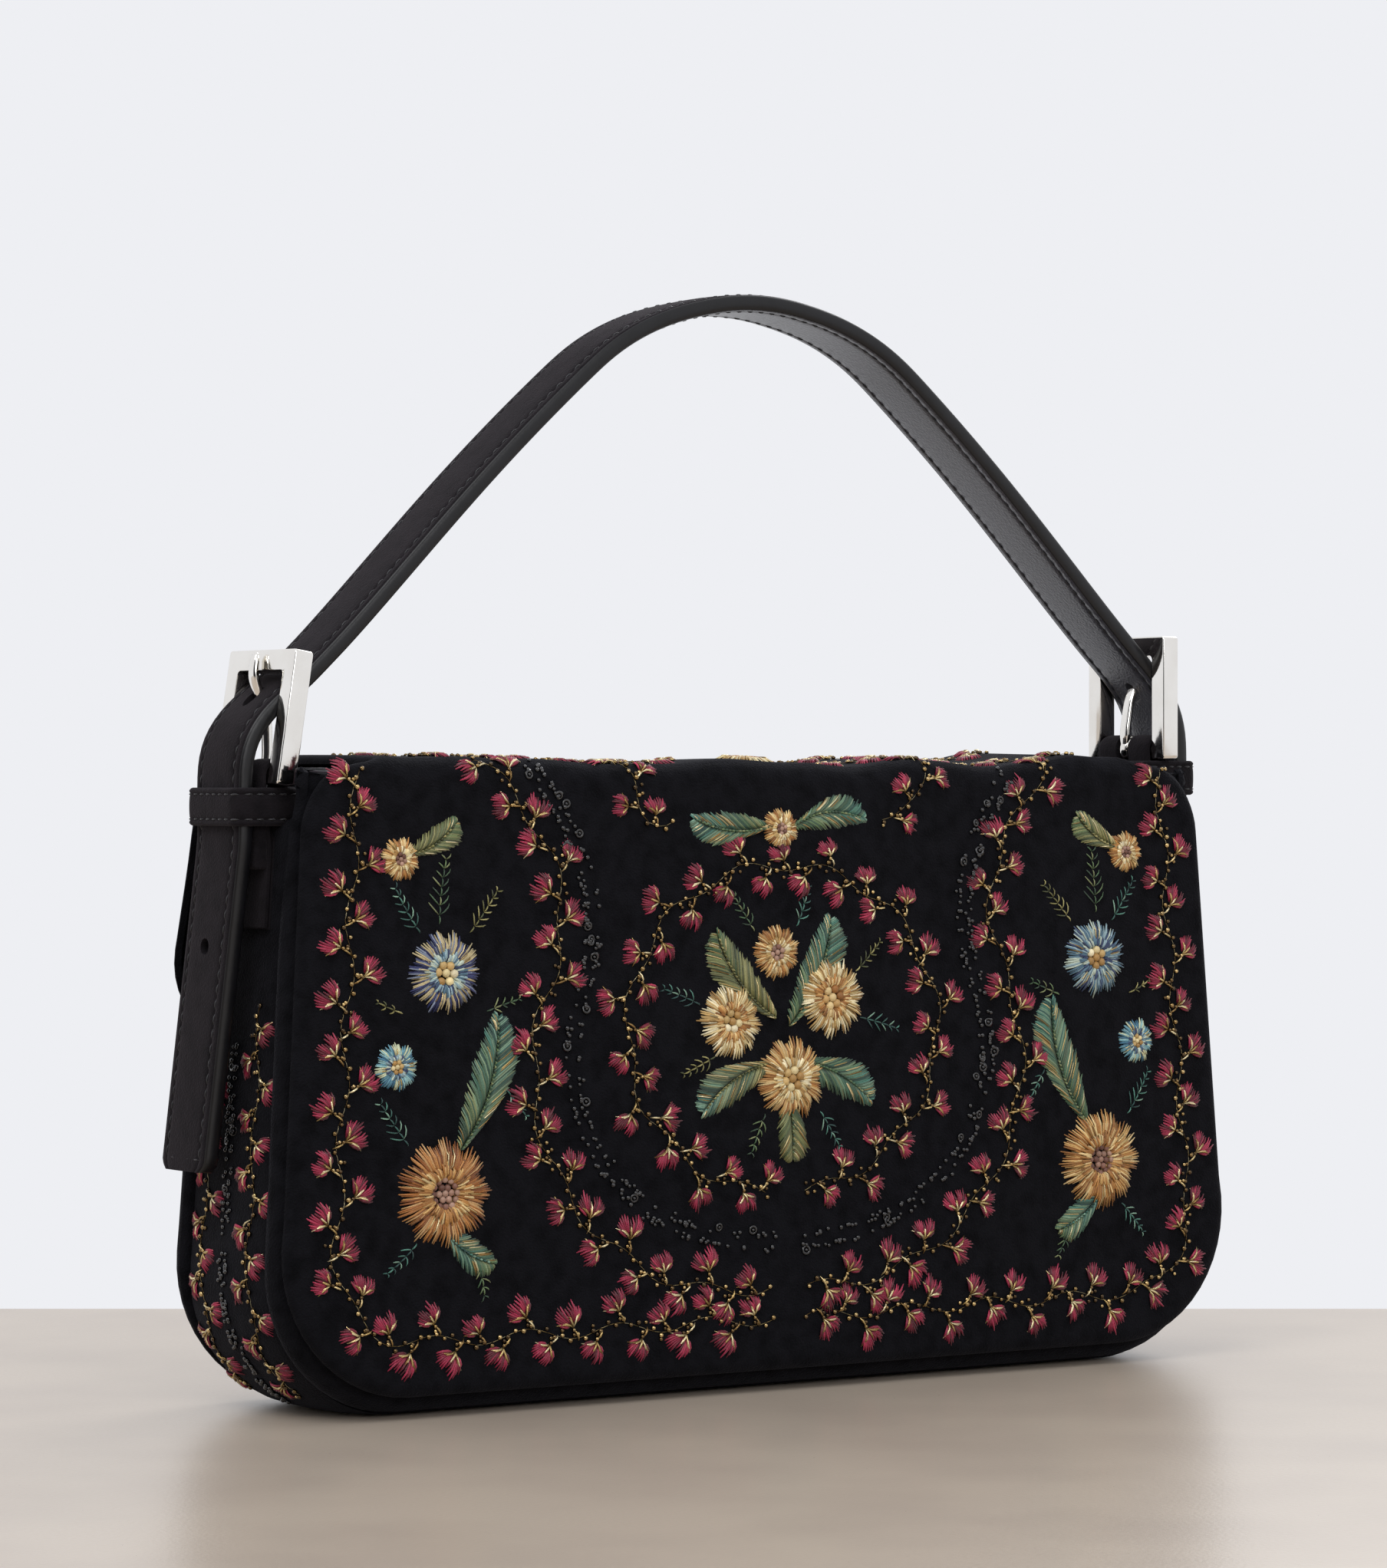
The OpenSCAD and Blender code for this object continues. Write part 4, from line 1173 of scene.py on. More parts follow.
for wall in WALL_NAME:
    lining_sheet(wall)


def gusset_lining():
    """The lining strip along the base and the sides."""
    edge = body_rows(LINING_INSET, LINING_LOW, [GUSSET_TOP], gap=8.0)
    base = [(x, LINING_LOW) for x in np.linspace(0, CORNER_X, 9)[:-1]]
    half = np.concatenate([base, edge[:, :2]])
    line = np.concatenate([half[::-1] * (-1, 1), half[1:]])
    v = np.linspace(-1, 1, 13)
    grid = np.zeros((len(line), len(v), 3))
    for r, (x, z) in enumerate(line):
        front, back = half_depth(z) - STRIP_DEPTH[FRONT], half_depth(z) - STRIP_DEPTH[BACK]
        y = np.where(v < 0, v * front, v * back)
        top = gusset_top(y)
        share = np.clip((z - CORNER_RADIUS) / (GUSSET_TOP - CORNER_RADIUS), 0, 1)
        grid[r, :, 0] = x
        grid[r, :, 1] = y
        grid[r, :, 2] = z + share * (top - GUSSET_TOP)
    piece = loft("gusset_lining_cloth", grid)
    middle = piece.data.polygons[len(piece.data.polygons) // 2]
    if middle.normal.z < 0:
        piece.data.flip_normals()
    modify(piece, "SOLIDIFY", thickness=LINING_CLOTH * MM, offset=1.0)
    return drop_in(soften(piece, 60), lining, "lining_cloth", ("gusset_lining",))


gusset_lining()


def on_wall(piece, wall, depth):
    """Leans a flat piece, made facing -Y at y = 0, against a wall at a depth into it."""
    for vertex in piece.data.vertices:
        x, y, z = np.array(vertex.co) / MM
        vertex.co = Vector((x, wall * (half_depth(z) - depth - y), z)) * MM
    if wall == FRONT:
        piece.data.flip_normals()
    piece.data.update()
    return piece


def sewn_patch(name, wall, depth, width, height, middle, corner, material, slot, nodes, deep=0.8):
    """A sewn-on rectangle with rounded corners and eased edges."""
    piece = block(name, (width, deep, height), (0, deep / 2, middle), corner, 0.25)
    on_wall(piece, wall, depth)
    return drop_in(soften(piece, 40), material, slot, nodes)


FACING_HALF = 122.9
for wall, name in WALL_NAME.items():
    sewn_patch(
        name + "_facing_leather", wall, FACE_DEPTH[wall], 2 * FACING_HALF, 22, 136, 0.5, leather,
        "smooth_leather", (name + "_facing",),
    )
sewn_patch(
    "slip_pocket_cloth", FRONT, FACE_DEPTH[FRONT], 120, 70, 84, 5, lining, "lining_cloth",
    ("slip_pocket",),
)
sewn_patch(
    "pocket_bag_cloth", BACK, POCKET_BAG_DEPTH, 150, 86, 73, 4, lining, "lining_cloth",
    ("pocket_bag",), 1.6,
)
sewn_patch(
    "label_patch_leather", BACK, FACE_DEPTH[BACK], 46, 20, 85, 2.5, leather, "smooth_leather",
    ("label_patch",),
)


def zip_welt():
    """The leather frame round the zip."""
    piece = block("zip_welt_leather", (150, 0.8, 14), (0, 0.4, ZIP_Z), 3, 0.25)
    cut(piece, block("hole", (144, 4, 8), (0, 0.4, ZIP_Z), 1.5, 0))
    on_wall(piece, BACK, FACE_DEPTH[BACK])
    return drop_in(soften(piece, 40), leather, "smooth_leather", ("zip_frame",))


zip_welt()
sewn_patch(
    "zip_tape_cloth", BACK, CLOTH_DEPTH[BACK], 143.8, 8, ZIP_Z, 0.3, zip_cloth, "zip_tape",
    ("zip_tape",), 0.5,
)


# Zip slider with its bail, and the leather puller that hangs from it
SLIDER_X = -64.5
BODY_Y = 16.86
BRIDGE_Y = 15.9
BAIL_Y = 14.31
BAIL_RADIUS = 2.03
BAIL_WIRE = 0.36
BAIL_HALF = 0.95
PIN_RADIUS = 0.95
TONGUE_Z = 96.0
NOTCH_Z = 107.9


def zip_slider():
    """A cast body with rounded corners, a bridge on its face and a bail round the puller's pin."""
    body = block("slider_body", (9, 1.5, 6.4), (SLIDER_X, BODY_Y, ZIP_Z), 2.0, 0.3)
    bridge = block("bridge", (5.4, 0.9, 2.6), (SLIDER_X, BRIDGE_Y, ZIP_Z), 1.1, 0.3)
    turn = np.linspace(0, 2 * math.pi, 33)[:-1]
    section = np.linspace(0, 2 * math.pi, 10, endpoint=False)
    reach = BAIL_RADIUS + BAIL_WIRE * np.cos(section)[None, :]
    ring = np.stack(
        [SLIDER_X + BAIL_HALF * np.sin(section)[None, :] + 0 * turn[:, None],
         BAIL_Y + reach * np.cos(turn)[:, None], ZIP_Z + reach * np.sin(turn)[:, None]], axis=-1,
    )
    return soften(joined([body, bridge, ring_loft("bail", ring)]), 40)


drop_in(zip_slider(), metal, "polished_metal", ("zip_slider",), body="zip_slider")


def zip_puller():
    """A leather tongue with rounded ends, forked round the bail, on its pin."""
    tongue = block("puller_leather", (7.8, 1.55, 23.8), (SLIDER_X, BAIL_Y, TONGUE_Z), 2.4, 0.35)
    cut(tongue, block("notch", (4.0, 6, 9.4), (SLIDER_X, BAIL_Y, NOTCH_Z), 1.2, 0))
    pin = rod(PIN_RADIUS, 7.9, (SLIDER_X, BAIL_Y, ZIP_Z), (0, math.pi / 2, 0))
    bpy.ops.object.transform_apply(location=True, rotation=True, scale=True)
    modify(pin, "BEVEL", width=0.3 * MM, segments=3, limit_method="ANGLE")
    return soften(joined([tongue, pin]), 40)


drop_in(zip_puller(), leather, "smooth_leather", ("zip_puller",), body="zip_puller")


# Hard and hidden parts that keep their solids
KEPT = {
    "front_board": stiffener, "back_board": stiffener, "base_board": stiffener,
    "flap_board": stiffener, "body_magnet": magnet_steel, "flap_magnet": magnet_steel,
    "zip_teeth": metal,
}
for node, material in KEPT.items():
    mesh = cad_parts[node].data
    if not mesh.materials:
        mesh.materials.append(material)
    for i in range(len(mesh.materials)):
        mesh.materials[i] = material


# Needlework: threads, beads and spangles that are laid on the velvet
chance = np.random.default_rng(7)
COLOUR_NAME = "thread_colour"


STITCH_CUTS = 2


def unit_stitch():
    """A square rod along x from 0 to 1, cut in three, that gets its taper when it is laid."""
    bpy.ops.object.select_all(action="DESELECT")
    bpy.ops.mesh.primitive_cylinder_add(
        vertices=4, radius=1, depth=1, end_fill_type="NGON", location=(0.5, 0, 0),
        rotation=(0, math.pi / 2, 0),
    )
    unit = bpy.context.object
    bpy.ops.object.transform_apply(location=True, rotation=True, scale=True)
    edit_edges(unit, lambda a, b: abs(a[0] - b[0]) > 0.5)
    bpy.ops.mesh.subdivide(number_cuts=STITCH_CUTS)
    bpy.ops.object.mode_set(mode="OBJECT")
    return unit


# Each of these is modelled once, to be copied many times
STITCH = unit_stitch()
bpy.ops.mesh.primitive_uv_sphere_add(segments=8, ring_count=6, radius=1)
BEAD = bpy.context.object
bpy.ops.mesh.primitive_uv_sphere_add(segments=10, ring_count=7, radius=1)
KNOT = bpy.context.object
bpy.ops.mesh.primitive_torus_add(
    major_radius=0.66, minor_radius=0.34, major_segments=12, minor_segments=4
)
SPANGLE = bpy.context.object


def positions(piece):
    """Points of a piece's vertices."""
    co = np.zeros(len(piece.data.vertices) * 3)
    piece.data.vertices.foreach_get("co", co)
    return co.reshape(-1, 3)


def copies(name, unit, points, colours):
    """One mesh of many copies of a unit's faces, each copy with its own points and colour."""
    count, size = points.shape[:2]
    faces = [list(p.vertices) for p in unit.data.polygons]
    corners = np.concatenate(faces)
    totals = np.tile([len(f) for f in faces], count)
    mesh = bpy.data.meshes.new(name)
    mesh.vertices.add(count * size)
    mesh.vertices.foreach_set("co", (points * MM).astype(np.float32).ravel())
    mesh.loops.add(count * len(corners))
    loops = corners[None, :] + size * np.arange(count)[:, None]
    mesh.loops.foreach_set("vertex_index", loops.ravel().astype(np.int32))
    mesh.polygons.add(count * len(faces))
    starts = np.concatenate([[0], np.cumsum(totals)[:-1]])
    mesh.polygons.foreach_set("loop_start", starts.astype(np.int32))
    mesh.polygons.foreach_set("use_smooth", np.ones(count * len(faces), bool))
    mesh.update(calc_edges=True)
    mesh.validate()
    paint = mesh.attributes.new(COLOUR_NAME, "FLOAT_COLOR", "POINT")
    rgba = np.concatenate([colours, np.ones((count, 1))], axis=1)
    paint.data.foreach_set("color", np.repeat(rgba, size, axis=0).astype(np.float32).ravel())
    piece = bpy.data.objects.new(name, mesh)
    scene.collection.objects.link(piece)
    return piece


def threaded(name, roughness, bump, grain, **sockets):
    """A thread or bead material: it takes its colour from the piece and varies it finely."""
    material, tree, shader = surface_of(name, **sockets)
    place = add(tree, "ShaderNodeTexCoord").outputs["Object"]
    colour = add(tree, "ShaderNodeAttribute", attribute_name=COLOUR_NAME).outputs["Color"]
    ply = add(tree, "ShaderNodeTexNoise", {"Vector": place, "Scale": per_mm(grain), "Detail": 2.0})
    shade = add(
        tree, "ShaderNodeMapRange", {"Value": ply.outputs["Fac"], "To Min": 0.75, "To Max": 1.25}
    )
    tint = add(
        tree, "ShaderNodeVectorMath", {0: colour, 1: shade.outputs[0]}, operation="MULTIPLY"
    )
    dressed(tree, shader, tint.outputs[0], ply.outputs["Fac"], roughness, 0.08, bump)
    return material


# Stranded silk and cotton, laid flat: it has a soft lengthwise shine
silk = threaded("stranded_silk", 0.46, 0.12, 0.35, Sheen_Weight=0.15, Sheen_Roughness=0.35)
# Gilt thread wound on a core: a broken metallic glitter
gilt = threaded("gilt_thread", 0.32, 0.1, 0.25, Metallic=0.85)
# Glass seed beads with a gilt lining
gilt_glass = threaded(
    "gilt_seed_beads", 0.17, 0.02, 0.6, Metallic=1.0, Coat_Weight=0.5, Coat_Roughness=0.04
)
# Jet glass beads and dark spangles: black with sharp points of light
jet_glass = threaded("jet_glass", 0.12, 0.01, 0.5, Coat_Weight=0.6, Coat_Roughness=0.05)


def tones(hexes):
    """A palette of linear colours."""
    return np.array([linear(h)[:3] for h in hexes])


WINE = tones(["#6f0b28", "#871737", "#530a1d", "#9a2543"])
GOLD_THREAD = tones(["#b59b66", "#cdb886", "#92764a", "#ddcfa6"])
OCHRE = tones(["#a8753a", "#c29a5e", "#8d5c28", "#d2b883"])
CREAM = tones(["#d2c08f", "#e2d6b2", "#b99a62", "#a07a42"])
AMBER = tones(["#9a602a", "#b07a42", "#7c481f", "#c39a66"])
SLATE = tones(["#4c6a7c", "#8aa3aa", "#303f60", "#b4c0b0"])
INK = tones(["#1d2450", "#363c68", "#767f92", "#b3a47c"])
TEAL_BLUE = tones(["#5c8c9b", "#8bb2b2", "#3c6a82", "#c0c6a4"])
SAGE = tones(["#3f5a3c", "#5c7049", "#2f4633", "#7b8258"])
OLIVE = tones(["#5f5e33", "#7d7846", "#454a2b", "#97905c"])
TEAL = tones(["#2c564e", "#47786a", "#1d403d", "#749682"])
ROSEWOOD = tones(["#7c5648", "#93705f", "#633f33", "#a58270"])
GILT_BEAD = tones(["#8c7346", "#6b5531", "#b59b69", "#523f22"])
BLACK_THREAD = tones(["#1b1b1f", "#232327"])
JET = tones(["#040406", "#08080a", "#050507", "#0c0c10"])


def picked(palette, count, spread=0.14):
    """Colours from a palette, each a little lighter or darker."""
    chosen = palette[chance.integers(0, len(palette), count)]
    return chosen * (1 + spread * chance.standard_normal((count, 1))).clip(0.6, 1.5)


def turned(points, turn):
    """Plane points turned round the origin."""
    c, s = math.cos(turn), math.sin(turn)
    return points @ np.array([[c, s], [-s, c]])


def polar(angles, radii):
    """Plane points at angles and radii."""
    return np.stack([radii * np.cos(angles), radii * np.sin(angles)], axis=-1)


# Half widths of threads, the radius of small beads and the spacing of a vine's points
SILK_THREAD = 0.33
FINE_SILK = 0.18
FINE_GILT = 0.17
SMALL_BEAD = 0.5
VINE_STEP = 0.7


class Needlework:
    """Stitches and beads on one surface, kept as rows until they become pieces."""

    def __init__(self, name, surface):
        self.name = name
        self.surface = surface
        self.kinds = {"buds": [], "petals": [], "leaves": [], "gilt": [], "seams": []}
        self.dots = {"gilt_beads": [], "jet_beads": [], "knots": [], "spangles": []}

    def sew(self, kind, a, b, width, lift, colours, bow=0.0):
        """Stitches from points a to b, with a half width, a height and a sideways bow."""
        count = len(a)
        row = [np.broadcast_to(np.asarray(v, float), (count,)) for v in (width, lift, bow)]
        self.kinds[kind].append(np.column_stack([a, b, *row, colours]))

    def dot(self, kind, at, size, colours):
        """Beads, knots or spangles of a radius at points."""
        size = np.broadcast_to(np.asarray(size, float), (len(at),))
        self.dots[kind].append(np.column_stack([at, size, colours]))

    def laid(self, rows):
        """Points of every stitch: it leaves the cloth, arches over and goes down again."""
        unit = positions(STITCH)
        t = unit[:, 0]
        a, b = rows[:, 0:2], rows[:, 2:4]
        width, lift, bow = rows[:, 4:5], rows[:, 5:6], rows[:, 6:7]
        along = b - a
        across = leftward(along)
        arch = np.clip(4 * t * (1 - t), 0.0, 1.0)
        flat = (
            a[:, None] + along[:, None] * t[None, :, None]
            + across[:, None] * (bow * arch)[..., None]
        )
        rise = lift * (arch**0.6) - 0.12 * (1 - arch)
        foot = self.surface(flat[..., 0], flat[..., 1], rise)
        normal = self.surface(flat[..., 0], flat[..., 1], rise + 0.5) - foot
        normal /= np.linalg.norm(normal, axis=-1, keepdims=True)
        start = self.surface(a[:, 0], a[:, 1], 0)
        end = self.surface(b[:, 0], b[:, 1], 0)
        way = (end - start)[:, None]
        side = np.cross(way, normal)
        side /= np.linalg.norm(side, axis=-1, keepdims=True).clip(1e-9)
        full = (0.45 + 0.55 * arch**0.5) * width
        return foot + side * (full * unit[:, 1])[..., None] + normal * (
            0.8 * full * unit[:, 2]
        )[..., None]

    def set_down(self, unit, rows, flatness, sunk):
        """Points of every bead or knot, turned at random and set a little into the pile."""
        shape = positions(unit)
        count = len(rows)
        size = rows[:, 2]
        foot = self.surface(rows[:, 0], rows[:, 1], size * sunk)
        up = self.surface(rows[:, 0], rows[:, 1], size * sunk + 0.5) - foot
        up += 0.25 * np.linalg.norm(up, axis=-1, keepdims=True) * chance.uniform(-1, 1, (count, 3))
        up /= np.linalg.norm(up, axis=-1, keepdims=True)
        any_way = chance.standard_normal((count, 3))
        side = np.cross(up, any_way)
        side /= np.linalg.norm(side, axis=-1, keepdims=True)
        other = np.cross(up, side)
        return foot[:, None] + size[:, None, None] * (
            side[:, None] * shape[None, :, 0:1] + other[:, None] * shape[None, :, 1:2]
            + up[:, None] * shape[None, :, 2:3] * flatness
        )

    def pieces(self, **hang):
        """Makes a piece of each kind of thread and bead, and drops them all in alike."""
        looks = {
            "buds": (silk, "embroidery_thread"), "petals": (silk, "embroidery_thread"),
            "leaves": (silk, "embroidery_thread"), "gilt": (gilt, "gold_thread"),
            "seams": (silk, "embroidery_thread"),
            "gilt_beads": (gilt_glass, "beads"), "jet_beads": (jet_glass, "beads"),
            "knots": (silk, "embroidery_thread"), "spangles": (jet_glass, "beads"),
        }
        for kind, lists in self.kinds.items():
            if lists:
                rows = np.concatenate(lists)
                made = copies(f"{self.name}_{kind}", STITCH, self.laid(rows), rows[:, 7:10])
                drop_in(made, *looks[kind], **hang)
        shapes = {
            "gilt_beads": (BEAD, 0.85, 0.55), "jet_beads": (BEAD, 0.85, 0.5),
            "knots": (KNOT, 0.8, 0.7), "spangles": (SPANGLE, 0.3, 0.2),
        }
        for kind, lists in self.dots.items():
            if lists:
                rows = np.concatenate(lists)
                unit, flatness, sunk = shapes[kind]
                points = self.set_down(unit, rows, flatness, sunk)
                drop_in(
                    copies(f"{self.name}_{kind}", unit, points, rows[:, 3:6]), *looks[kind], **hang
                )

    def bud(self, at, turn, size):
        """A heart-shaped leaf of wine silk with a gilt vein and two gilt sepals."""
        count = 15
        fan = np.linspace(-1, 1, count)
        angles = fan * 0.8
        reach = size * (1.02 - 0.28 * fan**2 - 0.22 * np.exp(-((fan / 0.2) ** 2)))
        reach *= 1 + 0.06 * chance.standard_normal(count)
        a = polar(angles * 0.6, np.full(count, 0.2 * size))
        b = polar(angles, reach)
        place = lambda p: turned(p, turn) + at
        self.sew(
            "buds", place(a), place(b), SILK_THREAD, 0.6, picked(WINE, count), 0.08 * np.sign(fan)
        )
        count = 7
        angles = np.array([0.0, 0.06, -0.95, -0.8, 0.95, 0.8, 3.1])
        reach = size * np.array([0.62, 0.5, 0.7, 0.6, 0.7, 0.6, 0.5])
        a = np.zeros((count, 2)) + np.array([0.08 * size, 0])
        b = a + polar(angles, reach)
        self.sew(
            "gilt", place(a), place(b), 0.27, 0.85, picked(GOLD_THREAD, count),
            np.array([0, 0, 0.12, 0.1, -0.12, -0.1, 0]),
        )

    def rosette(self, at, radius, petals, outer, inner, centre):
        """A flower of many straight stitches round a heap of knots."""
        start = chance.uniform(0, 1)
        each = max(7, int(2 * math.pi * radius / petals / 0.44))
        fan = np.linspace(-1, 1, each)
        for p in range(petals):
            middle = 2 * math.pi * (p + start) / petals
            angles = middle + fan * math.pi / petals * 0.93
            reach = radius * (0.8 + 0.2 * np.sqrt(1 - 0.9 * fan**2))
            reach *= 1 + 0.045 * chance.standard_normal(each)
            a = polar(angles, np.full(each, 0.3 * radius)) + at
            b = polar(angles + 0.02 * chance.standard_normal(each), reach) + at
            self.sew("petals", a, b, 0.3, 0.11 * radius, picked(outer, each))
            few = each // 2 + 1
            angles = middle + np.linspace(-0.8, 0.8, few) * math.pi / petals
            reach = radius * chance.uniform(0.5, 0.76, few)
            a = polar(angles, np.full(few, 0.2 * radius)) + at
            self.sew(
                "petals", a, polar(angles, reach) + at, SILK_THREAD, 0.15 * radius,
                picked(inner, few),
            )
            if p % 2 == 0:
                glint = middle + np.array([-0.09, 0.1])
                self.sew(
                    "gilt", polar(glint, 0.35 * radius) + at, polar(glint, 0.9 * radius) + at,
                    FINE_GILT, 0.17 * radius, picked(GOLD_THREAD, 2),
                )
        rings = 2 if radius > 11 else 1
        knot = 0.33 * radius / (2 * rings + 1)
        for ring in range(rings + 1):
            count = max(1, 6 * ring)
            angles = (np.arange(count) + start) * 2 * math.pi / count
            spots = polar(angles, 2 * knot * ring * (1 + 0.05 * chance.standard_normal(count))) + at
            self.dot("knots", spots, knot * 1.06, picked(centre, count, 0.1))

    def leaf(self, at, turn, length, width, near, far, bow=0.12):
        """An almond leaf, its slanted stitches meeting on a midrib and shaded to the tip."""
        count = int(length / 0.5)
        t = np.linspace(0.02, 0.97, count)
        rib = np.stack([t * length, bow * length * 4 * t * (1 - t)], axis=1)
        for side in (-1, 1):
            wide = width / 2 * np.sin(np.pi * t**0.8) ** 0.75
            wide = wide * (1 + 0.07 * chance.standard_normal(count)) + 0.5
            slant = side * 0.62
            b = rib + polar(np.full(count, slant), wide / math.sin(abs(slant)))
            shade = (t + 0.15 * chance.standard_normal(count)).clip(0, 1)[:, None]
            colours = picked(near, count) * (1 - shade) + picked(far, count) * shade
            self.sew(
                "leaves", turned(rib, turn) + at, turned(b, turn) + at, 0.31, 0.5, colours,
                -side * 0.05,
            )
            some = np.nonzero(chance.uniform(0, 1, count) < 0.16)[0]
            self.sew(
                "gilt", turned(rib[some], turn) + at, turned(b[some], turn) + at, FINE_GILT, 0.72,
                picked(GOLD_THREAD, len(some)),
            )
        stems = turned(rib, turn) + at
        self.sew("leaves", stems[:-2:2], stems[2::2], 0.26, 0.78, picked(near, len(stems[:-2:2])))

    def sprig(self, at, turn, length, palette):
        """A feathery twig of fine stitches."""
        count = int(length / 1.9)
        t = np.linspace(0, 1, count + 1)
        bow = chance.uniform(-0.12, 0.12)
        rib = np.stack([t * length, bow * length * t * t], axis=1)
        stem = turned(rib, turn) + at
        self.sew("leaves", stem[:-1], stem[1:], 0.2, 0.35, picked(palette, count))
        for side in (-1, 1):
            reach = (0.34 * length * (1 - 0.62 * t[1:])) * chance.uniform(0.8, 1.15, count)
            tips = rib[1:] + polar(np.full(count, side * 0.78), reach)
            self.sew(
                "leaves", stem[1:], turned(tips, turn) + at, FINE_SILK, 0.4,
                picked(palette, count), side * 0.06,
            )

    def vine(self, path, spacing=12.5, size=6.4, sides=(-1, 1), wave=1.5, away=4.6, skip=()):
        """A winding stem of gilt beads with buds on its sides."""
        path = resampled(np.asarray(path, float), VINE_STEP)
        along = directions(path)
        across = leftward(along)
        run = VINE_STEP * np.arange(len(path))
        path = path + across * (wave * np.sin(run * math.pi / spacing))[:, None]
        strung = np.arange(1, len(path) - 1, 3)
        count = len(strung)
        shift = 0.5 * np.where(np.arange(count) % 2, 1, -1) + 0.2 * chance.standard_normal(count)
        self.dot("gilt_beads", path[strung] + across[strung] * shift[:, None],
                 chance.uniform(0.52, 0.68, count), picked(GILT_BEAD, count, 0.2))
        some = strung[chance.uniform(0, 1, count) < 0.22]
        beside = across[some] * (chance.choice([-1.0, 1.0], len(some)) * 1.6)[:, None]
        self.dot("gilt_beads", path[some] + beside, SMALL_BEAD, picked(GILT_BEAD, len(some), 0.2))
        self.sew("gilt", path[:-4:3], path[4::3][: len(path[:-4:3])], 0.11, 0.22,
                 0.35 * picked(GOLD_THREAD, len(path[:-4:3])))
        places = np.arange(spacing / 2, run[-1], spacing / 2)
        for n, place in enumerate(places):
            i = int(place / VINE_STEP)
            side = sides[n % len(sides)]
            if not side or any(low <= place <= high for low, high in skip):
                continue
            heading = math.atan2(along[i, 1], along[i, 0])
            jitter = chance.uniform(-0.16, 0.16)
            lean = heading + side * (0.95 + jitter)
            at = path[i] + across[i] * side * (away - 0.42 * size)
            pair = path[i] + across[i] * side * np.array([[0.9], [2.0]]) + 0.25 * along[i]
            self.dot("gilt_beads", pair, SMALL_BEAD, picked(GILT_BEAD, 2, 0.2))
            self.bud(at, lean, size * chance.uniform(0.92, 1.1))

    def seam(self, path, stitch=2.4, gap=0.9, palette=None):
        """A row of machine stitches along a line."""
        path = np.asarray(path, float)
        even = resampled(path, (stitch + gap) / 4)
        starts = np.arange(0, len(even) - 4, 4)
        a = even[starts]
        b = a + (even[starts + 4] - a) * stitch / (stitch + gap)
        colours = picked(BLACK_THREAD if palette is None else palette, len(starts), 0.05)
        self.sew("seams", a, b, 0.24, 0.2, colours)

    def bead_band(self, path, width=3.0, density=1.6):
        """Jet beads strewn along a line, with a spangle here and there."""
        path = resampled(np.asarray(path, float), 0.5)
        across = leftward(directions(path))
        count = int(len(path) * 0.5 * density)
        spot = chance.integers(0, len(path), count)
        shift = chance.choice([-1, 1], count) * width / 2 + 0.45 * chance.standard_normal(count)
        self.dot("jet_beads", path[spot] + across[spot] * shift[:, None],
                 chance.uniform(0.46, 0.62, count), picked(JET, count))
        few = max(2, count // 16)
        spot = chance.integers(0, len(path), few)
        shift = chance.uniform(-1, 1, few) * width
        at = path[spot] + across[spot] * shift[:, None]
        self.dot("spangles", at, chance.uniform(1.15, 1.4, few), picked(JET, few))
        self.dot("jet_beads", at, 0.42, picked(JET, few))


def bezier(*corners, count=24):
    """Points of one or more cubic curves that share their ends."""
    corners = np.array(corners, float)
    t = np.linspace(0, 1, count)[:, None]
    parts = []
    for i in range(0, len(corners) - 3, 3):
        parts.append(cubic(*corners[i : i + 4], t))
    return np.concatenate([parts[0]] + [p[1:] for p in parts[1:]])


def oval(centre, half, first, last, count=60):
    """Points of an oval between two angles in degrees."""
    angles = np.radians(np.linspace(first, last, count))
    return np.stack(
        [centre[0] + half[0] * np.cos(angles), centre[1] + half[1] * np.sin(angles)], axis=1
    )


def border(side, inset, low, top, start=5.0):
    """A line along the lower edge and up one side of a panel, at a distance inside its outline."""
    rows = body_rows(inset, low + inset, [top], gap=4.0)[:, :2]
    bottom = [(x, low + inset) for x in np.linspace(start, CORNER_X, 20)[:-1]]
    return np.concatenate([bottom, rows]) * (side, 1)


def flipped(points, side):
    """Plane points as they are for the right side, mirrored for the left one."""
    return np.asarray(points, float) * (side, 1)


def facing(angle, side):
    """A direction as it is for the right side, mirrored for the left one."""
    return angle if side == RIGHT else math.pi - angle


def behind(x, height):
    """A place on the back half of the flap, with its height counted as on the front."""
    return x, 2 * TOP_MIDDLE - height


